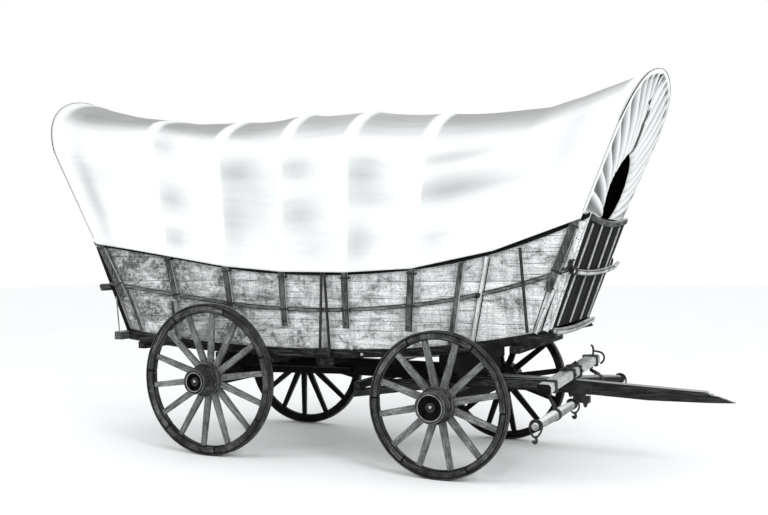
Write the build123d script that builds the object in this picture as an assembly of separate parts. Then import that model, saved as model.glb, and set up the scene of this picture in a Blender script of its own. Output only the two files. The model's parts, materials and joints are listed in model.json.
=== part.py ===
"""Covered freight wagon: curved plank body, seven bows under a canvas cover, four spoked wheels,
turning front gear with a broken tongue, doubletree and two singletrees, and a drop tailgate.

Millimetres. +X points forward along the tongue, +Y to the wagon's left, +Z up, ground at Z = 0.
Stations are measured forward from the rear axle; MIDDLE_X moves the origin to mid length.
"""
import math
import os

from build123d import *

# ---- driving dimensions -------------------------------------------------------------------------
WHEELBASE = 2160.0
TRACK = 1660.0                     # between the rim centres
MIDDLE_X = 1044.4                  # station of the middle of the whole length

REAR_WHEEL = dict(radius=660.5, spokes=14, hub_outer=198.0, rim=80.0, hub_end=98.0, recess=72.0)
FRONT_WHEEL = dict(radius=571.5, spokes=12, hub_outer=163.0, rim=70.0, hub_end=114.0, recess=92.0)
# turn of the first spoke forward of upright, degrees
SPOKE_TURN = dict(right_rear=5.2, left_rear=1.9, right_front=18.3, left_front=20.5)
TYRE_WIDTH = 66.0
TYRE_THICK = 16.0
FELLOE_WIDTH = 58.0
FELLOE_GAP = 1.5
SPOKE_ROOT = (58.0, 44.0)          # along the rim, along the axle
SPOKE_TIP = (46.0, 34.0)
SPOKE_DISH = 25.0                  # root sits this far inboard of the rim
HUB_RADIUS = 141.0
HUB_RECESS_DEPTH = 46.0
HUB_INNER = 145.0                  # from the rim plane to the hub's inner end
ARM_RADIUS = 38.0
RUNNING_FIT = 0.05
AXLE_BED_END = 679.0
GAP = 6.0                          # room beside pieces that move

FLARE = 5.0                        # the sides lean out by this angle
SIDE_Y = 600.0                     # outer face of the boards at SIDE_Z
SIDE_Z = 930.0
BOARD = 22.0
SILL_IN, SILL_OUT = -60.0, 14.0    # from the boards' outer face
RAIL_THICK = 26.0
SEAM = 2.5
FLOOR_THICK = 28.0

# stations along the side: x and z of sill underside, sill top, middle rail, top rail upper edge
RAIL_SHARE = dict(top=0.90, above=0.05, below=0.95)   # rails, as shares between the lines
# seams of the level side planks: height, first and last station
PLANK_SEAMS = (
    (1185, -1800, 3600),
    (1372, -1800, 3600),
    (1512, -1800, 3600),
    (1738, -1800, 3600),
    (1856, 2500, 3600),
)
SHEER = (
    # under_x, under_z, sill_x, sill_z, mid_x, mid_z, top_x, top_z
    (-1122, 968, -1090, 1062, -1254, 1492, -1414, 1890),
    (-530, 906, -530, 988, -530, 1394, -570, 1768),
    (80, 875, 80, 951, 80, 1322, 50, 1667),
    (950, 866, 950, 938, 1000, 1273, 1050, 1597),
    (1750, 900, 1750, 966, 1800, 1317, 1900, 1638),
    (2440, 979, 2430, 1046, 2470, 1421, 2600, 1766),
    (3040, 1092, 3000, 1155, 3170, 1618, 3324, 2022),
)
FRONT_RAKE = math.degrees(math.atan2(324, 867))
REAR_RAKE = math.degrees(math.atan2(324, 828))

# bows, rear to front: foot of the arch at the rail, lean, half width, height and crown
BOWS = dict(
    # x, z, lean_deg, half_width, height, rise, shoulder, leg_drop, bow set in from the section
    rear_bow=(-1368, 1877, 27.5, 790, 1680, 765, 0.88, 600, 32),
    second_bow=(-540, 1757, 11.0, 700, 1330, 370, 0.90, 410, 0),
    third_bow=(100, 1657, 5.5, 695, 1358, 480, 0.80, 370, 0),
    fourth_bow=(678, 1609, 1.0, 709, 1422, 610, 0.76, 480, 0),
    fifth_bow=(1288, 1601, -1.0, 709, 1407, 540, 0.78, 480, 0),
    sixth_bow=(1894, 1630, -5.5, 690, 1306, 600, 0.78, 520, 0),
    front_bow=(3262, 1987, -23.5, 792, 1235, 550, 0.90, 610, -32),
)
# the two long end bays sag, and have one more section of the cover each
REAR_SAG = (-954, 1820, 19.0, 745, 1462, 560, 0.89, 0, 0)
FRONT_SAG = (2585, 1762, -15.5, 745, 1222, 560, 0.80, 0, 0)
BOW_WIDE = 60.0
BOW_THICK = 20.0
COVER_THICK = 4.0
COVER_GAP = 1.0
BOW_OUT = 28.5                     # bow leg's inner face, from the boards' outer face
LEG_OUT = BOW_OUT + BOW_THICK + COVER_GAP + COVER_THICK   # outer face of the cover
STAPLE = 5.0
STAPLE_DROP = 56.0                 # top staple, below the rail's upper edge
STAPLE_HALF = 7.0
MIDDLE_STAPLE = 330.0              # middle rail, roughly this far down a leg
END_HEM = 55.0                     # lower edge of the drawn-in ends, above the foot
COVER_HEM = 14.0                   # how far the cover hangs past the rail's upper edge
# opening of a drawn-in end: sill height and half length, widest place, peak
OPENING = dict(low=78.0, low_half=170.0, wide_at=215.0, wide_half=285.0, peak=560.0)

# other uprights on the side: foot and head in station and height, width, thickness
STANDARDS = (
    # x_low, z_low, x_high, z_high, width, thick
    (-1056, 1054, -1365, 1845, 44, 0),
    (-898, 1052, -1040, 1440, 40, 0),
    (-476, 975, -500, 1330, 34, 22),
    (2196, 1010, 2322, 1668, 42, 22),
    (2372, 1026, 2524, 1708, 26, 8),
    (2884, 1124, 3088, 1566, 24, 2),
    (2958, 1146, 3267, 1958, 44, 0),
)
# iron rods in the middle of each side and near the front
SIDE_RODS = (
    # x_low, z_low, x_high, z_high
    (1012, 860, 1072, 1580),
    (1112, 860, 1099, 1580),
    (2823, 1128, 2790, 1770),
)
ROD_RADIUS = 12.0

CROSS_SILLS = (
    # station, half length
    (-900, 640), (520, 640), (1055, 676), (1620, 640), (2720, 650),
)
CROSS_SILL = (84.0, 62.0)
FRONT_CROSSPIECES = (
    # height up the rake, half length, depth, how far the middle sags, from and to off the boards
    (-8, 600, 46, 26, 1, 43),
    (480, 745, 42, 34, 1, 37),
    (893, 662, 46, 40, -24, 18),
)
REAR_CROSSPIECE = dict(x=(-1162.0, -1070.0), half=718.0, z=(962.0, 1040.0))
FLOOR_ENDS = (-1066.0, 2950.0)
HINGE = dict(up=14.0, out=24.0, radius=8.0, knuckle=15.0, places=(-420.0, 0.0, 420.0))
STRAP = (40.0, 6.0, 690.0)

REACH_WIDE = 86.0
REACH_SIDE = (
    # side view of the reach: a pole with a second timber bolted on top between the axles
    (-150, 677), (180, 668), (420, 650), (1000, 650), (2235, 632),
    (2235, 694), (2040, 698), (1930, 790), (1000, 796), (520, 790), (300, 738), (-150, 741),
)
AXLE_BED = (112.0, 116.0)
KINGPIN_RADIUS = 20.0

STEER_STACK = dict(hound_low=628.0, hound_high=700.0, sand_high=790.0, plate=5.0, bolster_low=796.0)
TONGUE_WIDE = 92.0
TONGUE_SIDE = (
    # x, top, bottom along the broken tongue
    (2290, 704, 600),
    (3060, 704, 598),
    (3600, 682, 574),
    (4030, 660, 580),
)
TONGUE_TIP = (4236.0, 590.0)
EVENER = dict(x=2985.0, z=754.0, half=610.0, wide=112.0, deep=78.0, swing=5.0, tilt=5.0)
EVENER_PIN = 12.0
# single trees: centre, plan turn and tilt of the left end
SINGLE_TREES = dict(
    right=dict(hang=-500.0, x=2990.0, z=497.0, turn=-7.0, tilt=4.0),
    left=dict(hang=520.0, x=3092.0, z=640.0, turn=-20.0, tilt=-5.0),
)
SINGLE_HALF = 400.0
SINGLE_RADIUS = 37.0
CLIP = 7.0                         # iron of the doubletree's clips
SWIVEL = dict(radius=9.0, eye=24.0, eye_radius=20.0, foot=40.0, link_radius=11.0)

NODES = {}


# ---- helpers ------------------------------------------------------------------------------------
def slope(height):
    """Distance up the flared side for a height above the ground."""
    return (height - SIDE_Z) / math.cos(math.radians(FLARE))


def side_y(height, offset=0.0):
    """Y of the side at a height, measured out from the boards' outer face."""
    angle = math.radians(FLARE)
    return SIDE_Y + (height - SIDE_Z) * math.tan(angle) + offset / math.cos(angle)


def right_side_plane():
    """The boards' outer face on the right: local x is the station, local y runs up the slope."""
    angle = math.radians(FLARE)
    out = (0, -math.cos(angle), -math.sin(angle))
    return Plane(origin=(0, -SIDE_Y, SIDE_Z), x_dir=(1, 0, 0), z_dir=out)


def sheer_line(columns):
    """Points of one line of the SHEER table, by its pair of columns."""
    first = columns * 2
    return [(row[first], row[first + 1]) for row in SHEER]


UNDER, SILL, MIDDLE, TOP = range(4)


def between(low, high, share):
    """A line between two lines of the side, the seam of two boards."""
    pairs = zip(low, high)
    return [(a[0] + (b[0] - a[0]) * share, a[1] + (b[1] - a[1]) * share) for a, b in pairs]


def shifted(line, lift):
    return [(x, z + lift) for x, z in line]


def arcs(points):
    """Edges through an odd number of points, an arc for every three."""
    edges = []
    for i in range(0, len(points) - 2, 2):
        edges.append(ThreePointArc(points[i], points[i + 1], points[i + 2]))
    return edges


def band(low, high):
    """Face between two curved lines with straight ends."""
    edges = arcs(low) + arcs(high)
    edges += [Line(low[0], high[0]), Line(low[-1], high[-1])]
    return Face(Wire.combine(edges)[0])


def on_side(face, inner, outer):
    """Solid on the right side, from one offset to another out of the boards' face."""
    solid = extrude(face, amount=outer - inner, dir=(0, 0, 1))
    return right_side_plane().location * Location((0, 0, inner)) * solid


def side_band(low, high, inner, outer):
    low = [(x, slope(z)) for x, z in low]
    high = [(x, slope(z)) for x, z in high]
    return on_side(band(low, high), inner, outer)


def side_bar(start, end, width, inner, outer):
    """Upright bar on the side between two points given as station and height."""
    a = Vector(start[0], slope(start[1]))
    b = Vector(end[0], slope(end[1]))
    along = (b - a).normalized()
    across = Vector(-along.Y, along.X) * (width / 2)
    corners = [a - across, b - across, b + across, a + across]
    face = make_face(Polyline([(p.X, p.Y) for p in corners], close=True))
    return on_side(face, inner, outer)


def both_sides(solid):
    """A piece of the right side and its mirror image on the left."""
    return solid, mirror(solid, about=Plane.XZ)


def box(x, y, z):
    """Box from three (low, high) pairs."""
    size = (x[1] - x[0], y[1] - y[0], z[1] - z[0])
    middle = ((x[0] + x[1]) / 2, (y[0] + y[1]) / 2, (z[0] + z[1]) / 2)
    return Pos(*middle) * Box(*size)


def wedge(offset, x, z):
    """All the room between the two sides at an offset, over a range of station and height."""
    low, high = side_y(z[0], offset), side_y(z[1], offset)
    outline = [(-low, z[0]), (low, z[0]), (high, z[1]), (-high, z[1])]
    face = Plane.YZ * make_face(Polyline(outline, close=True))
    return Pos(x[0], 0, 0) * extrude(face, amount=x[1] - x[0], dir=(1, 0, 0))


def cross_profile(points, y):
    """A side-view outline of stations and heights, run across the wagon from y[0] to y[1]."""
    face = Plane.XZ * make_face(Polyline(points, close=True))
    return Pos(0, y[0], 0) * extrude(face, amount=y[1] - y[0], dir=(0, 1, 0))


def rod(start, end, radius):
    """Round rod between two points."""
    start, end = Vector(*start), Vector(*end)
    plane = Plane(origin=start, z_dir=end - start)
    return extrude(plane * Circle(radius), amount=(end - start).length)


def y_cylinder(x, z, y, radius):
    """Cylinder along Y from y[0] to y[1]."""
    return rod((x, y[0], z), (x, y[1], z), radius)


def z_cylinder(x, y, z, radius):
    return rod((x, y, z[0]), (x, y, z[1]), radius)


def solids_of(shape):
    if isinstance(shape, (list, tuple)):
        found = []
        for one in shape:
            found += solids_of(one)
        return found
    return list(shape.solids())


def keep(name, *pieces):
    """Stores a node's solids, moved so that the origin is at mid length."""
    solids = [Pos(-MIDDLE_X, 0, 0) * s for s in solids_of(list(pieces))]
    NODES[name] = solids[0] if len(solids) == 1 else Compound(children=solids)


# ---- wheels -------------------------------------------------------------------------------------
def wheel(prefix, x, side, radius, spokes, hub_outer, rim, hub_end, recess):
    """Tyre, felloes, spokes and hub; side is -1 on the right and +1 on the left."""
    rim_y = side * TRACK / 2
    felloe_out = radius - TYRE_THICK
    felloe_in = radius - rim
    place = Pos(x, rim_y, radius)

    def ring(outer, inner, wide):
        section = Circle(outer) - Circle(inner)
        return Pos(0, wide / 2, 0) * extrude(Plane.XZ * section, amount=wide, dir=(0, -1, 0))

    keep(prefix + "_tyre", place * ring(radius, felloe_out, TYRE_WIDTH))

    hub_profile = [
        (0, HUB_INNER), (88, HUB_INNER), (96, HUB_INNER - 10), (118, HUB_INNER - 55),
        (HUB_RADIUS, HUB_INNER - 82), (HUB_RADIUS, -34), (128, -58),
        (hub_end + 6, -hub_outer + 40), (hub_end, -hub_outer), (0, -hub_outer),
    ]
    hub = revolve(Plane.XY * make_face(Polyline(hub_profile, close=True)), axis=Axis.Y)
    hollow = Pos(0, -hub_outer, 0) * extrude(
        Plane.XZ * Circle(recess), amount=HUB_RECESS_DEPTH, dir=(0, 1, 0))
    bore = y_cylinder(0, 0, (-400, 400), ARM_RADIUS + RUNNING_FIT)
    hub = hub - hollow - bore

    felloes = ring(felloe_out, felloe_in, FELLOE_WIDTH)
    pitch = 360.0 / spokes
    first = SPOKE_TURN[prefix]
    joint = Pos(0, 0, radius) * Box(FELLOE_GAP, TYRE_WIDTH, rim * 3)
    for i in range(spokes // 2):
        felloes -= Rot(0, first + pitch * (2 * i + 0.5), 0) * joint

    spoke_set = []
    root = Plane(origin=(0, SPOKE_DISH, HUB_RADIUS - 12), z_dir=(0, 0, 1)) * RectangleRounded(
        *SPOKE_ROOT, 9)
    tip = Plane(origin=(0, 0, felloe_in + 8), z_dir=(0, 0, 1)) * RectangleRounded(*SPOKE_TIP, 9)
    spoke = loft([root.face(), tip.face()])
    spoke = spoke - hub - ring(felloe_out, felloe_in, FELLOE_WIDTH)
    for i in range(spokes):
        spoke_set.append(Rot(0, first + pitch * i, 0) * spoke)

    def set_up(shape):
        turned = shape if side < 0 else mirror(shape, about=Plane.XZ)
        return place * turned

    keep(prefix + "_felloes", [set_up(s) for s in felloes.solids()])
    keep(prefix + "_spokes", [set_up(s) for s in spoke_set])
    keep(prefix + "_hub", set_up(hub))


# ---- body of the wagon --------------------------------------------------------------------------
def body_sides(end_timbers):
    under, sill = sheer_line(UNDER), sheer_line(SILL)
    middle, top = sheer_line(MIDDLE), sheer_line(TOP)
    planks = side_band(sill, top, -BOARD, 0)
    for height, first, last in PLANK_SEAMS:
        z = (height - SEAM / 2, height + SEAM / 2)
        planks = planks - box((first, last), (-900, 900), z)
    boards = solids_of(planks)
    right, left = zip(*[both_sides(b) for b in boards])
    keep("right_boards", list(right))
    keep("left_boards", list(left))

    sill_solid = side_band(shifted(under, -12), sill, SILL_IN, SILL_OUT) & above_underside()
    for piece in end_timbers:
        sill_solid = sill_solid - piece
    keep("sills", list(both_sides(sill_solid)))

    rails = [
        side_band(between(middle, top, RAIL_SHARE["top"]), top, 0, RAIL_THICK),
        side_band(between(sill, middle, RAIL_SHARE["below"]),
                  between(middle, top, RAIL_SHARE["above"]), 0, RAIL_THICK),
    ]
    keep("side_rails", [both_sides(rail) for rail in rails])
    return rails, sill_solid


def standards(rails, sill, beams):
    """Uprights that stiffen the boards; each one is notched over the rails and the sill."""
    pieces = []
    for x_low, z_low, x_high, z_high, width, thick in STANDARDS:
        bar = side_bar((x_low, z_low), (x_high, z_high), width, 0, RAIL_THICK + thick)
        for rail in rails:
            bar = bar - rail
        pieces.append(bar - sill)
    rods = []
    for x_low, z_low, x_high, z_high in SIDE_RODS:
        low = (x_low, -side_y(z_low, RAIL_THICK + ROD_RADIUS), z_low)
        high = (x_high, -side_y(z_high, RAIL_THICK + ROD_RADIUS), z_high)
        iron = rod(low, high, ROD_RADIUS)
        for beam in beams:
            iron = iron - beam
        rods.append(iron)
    keep("side_standards", [both_sides(piece) for piece in pieces])
    return [both_sides(iron) for iron in rods], pieces


def above_underside():
    """All the room above the curve of the sills' underside."""
    under = sheer_line(UNDER)
    top = 1700
    walls = [Line(under[0], (under[0][0], top)), Line((under[0][0], top), (under[-1][0], top)),
             Line((under[-1][0], top), under[-1])]
    face = Plane.XZ * Face(Wire.combine(arcs(under) + walls)[0])
    return Pos(0, -900, 0) * extrude(face, amount=1800, dir=(0, 1, 0))


def floor_and_cross_sills(sky):
    under = sheer_line(UNDER)
    face = Plane.XZ * band(under, shifted(under, FLOOR_THICK))
    deck = Pos(0, -700, 0) * extrude(face, amount=1400, dir=(0, 1, 0))
    deck = deck & wedge(SILL_IN, FLOOR_ENDS, (700, 1300))
    planks = 6
    width = 1400.0 / planks
    for i in range(1, planks):
        y = -700 + width * i
        deck = deck - box((-1400, 3400), (y - SEAM / 2, y + SEAM / 2), (600, 1400))
    keep("floor_boards", deck)

    beams = []
    for x, half in CROSS_SILLS:
        low = line_height(UNDER, x) - CROSS_SILL[1]
        beam = box((x - CROSS_SILL[0] / 2, x + CROSS_SILL[0] / 2), (-half, half), (low, low + 130))
        beams.append(beam - sky)
    keep("cross_sills", beams)
    return beams


def line_height(columns, x):
    """Height of a line of the side at a station, by the parabola through three table rows."""
    rows = sheer_line(columns)
    start = 0
    while start + 4 < len(rows) and x > rows[start + 2][0]:
        start += 2
    (xa, za), (xb, zb), (xc, zc) = rows[start:start + 3]
    first, second = (zb - za) / (xb - xa), (zc - zb) / (xc - xb)
    bend = (second - first) / (xc - xa)
    return za + first * (x - xa) + bend * (x - xa) * (x - xb)


def raked_plane(foot_x, foot_z, rake, facing):
    """Plane of a body end: local x across the wagon, local y up the rake, normal outwards."""
    lean = math.radians(rake)
    normal = (facing * math.cos(lean), 0, -math.sin(lean))
    return Plane(origin=(foot_x, 0, foot_z), x_dir=(0, facing, 0), z_dir=normal)


def front_end():
    """Vertical planks between the sides, with three crosspieces over their front."""
    plane = raked_plane(3000, 1155, FRONT_RAKE, 1)
    height = 880.0
    rough = plane.location * Pos(0, height / 2 + 8, -BOARD / 2) * Box(1500, height, BOARD)
    panel = rough & wedge(-BOARD, (2700, 3500), (1000, 2200))
    planks = 7
    for i in range(1, planks):
        y = -660 + 1320.0 / planks * i
        panel = panel - box((2500, 3600), (y - SEAM, y + SEAM), (900, 2300))

    crosspieces = []
    for level, half, depth, sag, inner, outer in FRONT_CROSSPIECES:
        low = [(-half, level - depth / 2), (0, level - depth / 2 - sag), (half, level - depth / 2)]
        high = [(x, y + depth) for x, y in low]
        face = band(low, high)
        piece = plane.location * Pos(0, 0, inner) * extrude(
            face, amount=outer - inner, dir=(0, 0, 1))
        panel = panel - piece
        crosspieces.append(piece)
    keep("front_boards", panel)
    return crosspieces


# ---- cover and bows -----------------------------------------------------------------------------
def bow_plane(row):
    """Plane of a bow: local x across the wagon to the left, local y up along the lean."""
    x, z, lean = row[0], row[1], math.radians(row[2])
    up = Vector(-math.sin(lean), 0, math.cos(lean))
    across = Vector(0, 1, 0)
    return Plane(origin=(x, 0, z), x_dir=across, z_dir=across.cross(up))


def leg_point(row, down):
    """Station and height of a bow leg, this far below the foot of its arch."""
    lean = math.radians(row[2])
    x = row[0] + row[8] * math.cos(lean) + down * math.sin(lean)
    return x, row[1] + row[8] * math.sin(lean) - down * math.cos(lean)


def arch(row, inset, foot, set_in=0.0):
    """Three-centred arch as seven edges from the right foot to the left foot."""
    _, z, lean_deg, half, height, rise, share = row[:7]
    lean = math.radians(lean_deg)
    half, height, rise = half - inset, height - inset, rise - inset
    shoulder = share * min(half, rise)
    crown = ((half - shoulder) ** 2 + rise ** 2 - shoulder ** 2) / (2 * (rise - shoulder))
    spring = height - rise
    turn = math.atan2(spring - (height - crown), half - shoulder)
    tan_pt = (half - shoulder + shoulder * math.cos(turn), spring + shoulder * math.sin(turn))
    mid_pt = (half - shoulder + shoulder * math.cos(turn / 2),
              spring + shoulder * math.sin(turn / 2))
    base = side_y(z + set_in * math.sin(lean), LEG_OUT - inset)
    rate = math.cos(lean) * math.tan(math.radians(FLARE))
    foot_pt = (base + foot * rate, foot)
    rail_pt = (base, 0.0)

    def flip(p):
        return (-p[0], p[1])

    edges = [
        Line(flip(foot_pt), flip(rail_pt)), Line(flip(rail_pt), (-half, spring)),
        ThreePointArc((-half, spring), flip(mid_pt), flip(tan_pt)),
        ThreePointArc(flip(tan_pt), (0, height), tan_pt),
        ThreePointArc(tan_pt, mid_pt, (half, spring)),
        Line((half, spring), rail_pt), Line(rail_pt, foot_pt),
    ]
    return edges, flip(foot_pt), foot_pt


def hoop(row, inset_out, inset_in, foot, set_in=0.0):
    """Face between two arches of one bow, open at the bottom."""
    outer, out_a, out_b = arch(row, inset_out, foot, set_in)
    inner, in_a, in_b = arch(row, inset_in, foot, set_in)
    edges = outer + inner + [Line(out_a, in_a), Line(out_b, in_b)]
    return Face(Wire.combine(edges)[0])


def bows(room):
    """Seven hoops, dressed to the room inside the cover; the legs run down outside the rails."""
    inset = COVER_THICK + COVER_GAP
    pieces = []
    for name, row in BOWS.items():
        face = hoop(row, inset, inset + BOW_THICK, -row[7], row[8])
        lift = Pos(0, 0, row[8] - BOW_WIDE / 2)
        hoop_solid = bow_plane(row).location * lift * extrude(face, amount=BOW_WIDE, dir=(0, 0, 1))
        pieces.append(hoop_solid & room)
        keep(name, pieces[-1])
    return pieces


def bow_staples(hoops, timbers):
    """Iron staples that hold each leg to the boards under the top rail and to the middle rail."""
    pieces = []
    for row, hoop_solid in zip(BOWS.values(), hoops):
        for columns, guess, drop, foot in (
                (TOP, 0, STAPLE_DROP, 0), (MIDDLE, MIDDLE_STAPLE, 0, RAIL_THICK)):
            x, z = leg_point(row, guess)
            rail_z = line_height(columns, x) - drop
            down = guess + (z - rail_z) / math.cos(math.radians(row[2]))
            low, high = leg_point(row, down + STAPLE_HALF), leg_point(row, down - STAPLE_HALF)
            outside = BOW_OUT + BOW_THICK + STAPLE
            staple = side_bar(low, high, BOW_WIDE + 2 * STAPLE, foot, outside)
            low, high = leg_point(row, down + 50), leg_point(row, down - 50)
            staple = staple - side_bar(low, high, BOW_WIDE, -BOARD, BOW_OUT + 1)
            staple = staple - hoop_solid
            for timber in timbers:
                staple = staple - timber
            pieces.append(both_sides(staple))
    return pieces


def cover_sheet():
    """Canvas over the bows, from section to section, and the room inside it."""
    rows = list(BOWS.values())
    rows.insert(1, REAR_SAG)
    rows.insert(-1, FRONT_SAG)
    faces = []
    rooms = []
    for row in rows:
        place = bow_plane(row).location
        faces.append(place * hoop(row, 0, COVER_THICK, -COVER_HEM))
        inner, a, b = arch(row, COVER_THICK + COVER_GAP / 2, -700)
        rooms.append(place * Face(Wire.combine(inner + [Line(a, b)])[0]))
    return loft(faces, ruled=True), loft(rooms, ruled=True)


def gathered_end(row, facing):
    """End of the cover drawn in round an opening with a flat sill and a pointed head."""
    outer, a, b = arch(row, 0, -COVER_HEM)
    face = Face(Wire.combine(outer + [Line(a, b)])[0])
    low, low_half, wide_at, wide_half, peak = OPENING.values()
    head_y = (wide_at + peak) / 2 + 30
    head_x = wide_half * 0.66
    hole = [
        Line((-low_half, low), (low_half, low)),
        ThreePointArc((low_half, low), (wide_half - 28, (low + wide_at) / 2 - 14), (wide_half, wide_at)),
        ThreePointArc((wide_half, wide_at), (head_x, head_y), (0, peak)),
        ThreePointArc((0, peak), (-head_x, head_y), (-wide_half, wide_at)),
        ThreePointArc((-wide_half, wide_at), (28 - wide_half, (low + wide_at) / 2 - 14), (-low_half, low)),
    ]
    below = Pos(0, END_HEM - 200) * Rectangle(2000, 400)
    face = face - Face(Wire.combine(hole)[0]) - below
    plane = bow_plane(row)
    start = -COVER_THICK if facing < 0 else 0
    return plane.location * Pos(0, 0, start) * extrude(face, amount=COVER_THICK, dir=(0, 0, 1))


# ---- running gear -------------------------------------------------------------------------------
def reach_beam():
    return cross_profile(REACH_SIDE, (-REACH_WIDE / 2, REACH_WIDE / 2))


def slanted_beam(near, far, side_view, width):
    """Beam running in plan from near to far; side_view gives distance along it and height."""
    direction = Vector(far[0] - near[0], far[1] - near[1], 0).normalized()
    plane = Plane(origin=(near[0], near[1], 0), x_dir=direction,
                  z_dir=direction.cross(Vector(0, 0, 1)))
    face = make_face(Polyline(side_view, close=True))
    return plane.location * Pos(0, 0, -width / 2) * extrude(face, amount=width, dir=(0, 0, 1))


def rear_gear(sky):
    axle_z = REAR_WHEEL["radius"]
    reach = reach_beam()
    hounds = []
    for side in (-1, 1):
        near, far = (-120, side * 372), (1010, side * 66)
        length = math.hypot(far[0] - near[0], far[1] - near[1])
        outline = [(0, 672), (length, 660), (length, 716), (0, 740)]
        hounds.append(slanted_beam(near, far, outline, 56) - reach)
    half = AXLE_BED[0] / 2
    bed = box((-half, half), (-AXLE_BED_END, AXLE_BED_END), (axle_z - 58, axle_z + 58))
    bolster = box((-half - 4, half + 4), (-640, 640), (axle_z + 58, 980)) - sky
    arms = []
    for side in (-1, 1):
        end = TRACK / 2 + REAR_WHEEL["hub_outer"] - 14
        ys = sorted((side * (AXLE_BED_END - 90), side * end))
        arms.append(y_cylinder(0, axle_z, ys, ARM_RADIUS))
    for piece in [reach] + hounds:
        bed = bed - piece
        bolster = bolster - piece
    for arm in arms:
        bed = bed - arm
    keep("rear_axle_bed", bed)
    keep("rear_axle_arms", arms)
    keep("rear_bolster", bolster)
    keep("rear_hounds", hounds)
    return reach


def front_gear(reach, sky):
    x = WHEELBASE
    axle_z = FRONT_WHEEL["radius"]
    stack = STEER_STACK
    half = AXLE_BED[0] / 2
    plate_low = stack["bolster_low"] - stack["plate"]
    kingpin = z_cylinder(x, 0, (478, 900), KINGPIN_RADIUS)
    kingpin += z_cylinder(x, 0, (plate_low, stack["bolster_low"]), 105)
    bolster = box((x - half - 6, x + half + 6), (-640, 640), (stack["bolster_low"], 1050)) - sky
    bolster = bolster - z_cylinder(x, 0, (700, 900), KINGPIN_RADIUS)
    reach = reach - z_cylinder(x, 0, (500, 800), KINGPIN_RADIUS)
    keep("kingpin", kingpin)
    keep("front_bolster", bolster)
    keep("reach", reach)

    clearance = z_cylinder(x, 0, (300, 1000), KINGPIN_RADIUS + RUNNING_FIT)
    bed = box((x - half, x + half), (-AXLE_BED_END, AXLE_BED_END),
              (axle_z - 58, stack["hound_low"])) - clearance
    sand = box((x - half, x + half), (-540, 540), (stack["hound_high"], stack["sand_high"]))
    sand = sand - clearance
    arms = []
    for side in (-1, 1):
        end = TRACK / 2 + FRONT_WHEEL["hub_outer"] - 14
        ys = sorted((side * (AXLE_BED_END - 90), side * end))
        arm = y_cylinder(x, axle_z, ys, ARM_RADIUS)
        bed = bed - arm
        arms.append(arm)
    tongue = tongue_beam()
    hounds = []
    for side in (-1, 1):
        near, far = (1165, side * 302), (2800, side * 76)
        length = math.hypot(far[0] - near[0], far[1] - near[1])
        low, high = stack["hound_low"], stack["hound_high"]
        outline = [
            (0, 500), (780, 604), (925, low), (1100, low), (length, low - 8), (length, high),
            (925, high), (780, 684), (110, 580), (0, 580),
        ]
        hounds.append(slanted_beam(near, far, outline, 60) - tongue)
    sway = box((1190, 1262), (-372, 372), (580, 640))
    for hound in hounds:
        sway = sway - hound
    keep("front_axle_bed", bed)
    keep("front_axle_arms", arms)
    keep("sand_board", sand)
    keep("front_hounds", hounds)
    keep("sway_bar", sway)
    pin = z_cylinder(EVENER["x"], 0, (560, 822), EVENER_PIN)
    half_wide = TONGUE_WIDE / 2
    bolt = y_cylinder(3052, 650, (-half_wide - 10, half_wide + 10), 11)
    tongue = tongue - pin - bolt
    keep("tongue", tongue)
    plate = box((2975, 3100), (-34, 34), (572, 598)) + box((3010, 3140), (-34, 34), (520, 572))
    toe = cross_profile([(3086, 520), (3122, 520), (3112, 484), (3096, 484)], (-20, 20))
    keep("tongue_irons", plate + toe - tongue - pin, pin, bolt)


def tongue_beam():
    """Square timber, broken off at the front, where only its right half is left."""
    tops = [(x, top) for x, top, _ in TONGUE_SIDE]
    bottoms = [(x, low) for x, _, low in TONGUE_SIDE]
    outline = tops + [(4062, 640), (4112, 632), TONGUE_TIP, (4140, 584)] + bottoms[::-1]
    beam = cross_profile(outline, (-TONGUE_WIDE / 2, TONGUE_WIDE / 2))
    return beam - box((4040, 4300), (-4, 80), (540, 700))


def placed(x, y, z, turn, tilt):
    """Frame of a tree: local y along the bar; turn about the vertical, then tilt of its left end."""
    return Pos(x, y, z) * Rot(0, 0, turn) * Rot(tilt, 0, 0)


def evener():
    e = EVENER
    frame = placed(e["x"], 0, e["z"], -e["swing"], e["tilt"])
    bar = Box(e["wide"], 2 * e["half"], e["deep"])
    bar = fillet(bar.edges().filter_by(Axis.Y), 22)
    bar = frame * bar
    hole = z_cylinder(e["x"], 0, (600, 900), EVENER_PIN + RUNNING_FIT)
    bar = bar - hole
    keep("doubletree_bar", bar)
    irons = []
    for name, tree in SINGLE_TREES.items():
        clip = Box(e["wide"] + 2 * CLIP, 44, e["deep"] + 2 * CLIP)
        clip = clip - Box(e["wide"] + 0.02, 60, e["deep"] + 0.02)
        clip = frame * Pos(0, tree["hang"], 0) * clip
        x, y, z = swivel(frame, tree)
        eye = z_cylinder(x, y, (z - SWIVEL["eye"], z + CLIP), SWIVEL["eye_radius"])
        room = z_cylinder(x, y, (z - 100, z + CLIP), SWIVEL["radius"] + RUNNING_FIT)
        irons.append(clip + (eye - bar) - room)
    keep("doubletree_irons", irons)
    return frame


def swivel(frame, tree):
    """Point on the upright axis of a single tree, at the underside of its clip."""
    point = (frame * Pos(0, tree["hang"], -EVENER["deep"] / 2 - CLIP)).position
    return point.X, point.Y, point.Z


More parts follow.
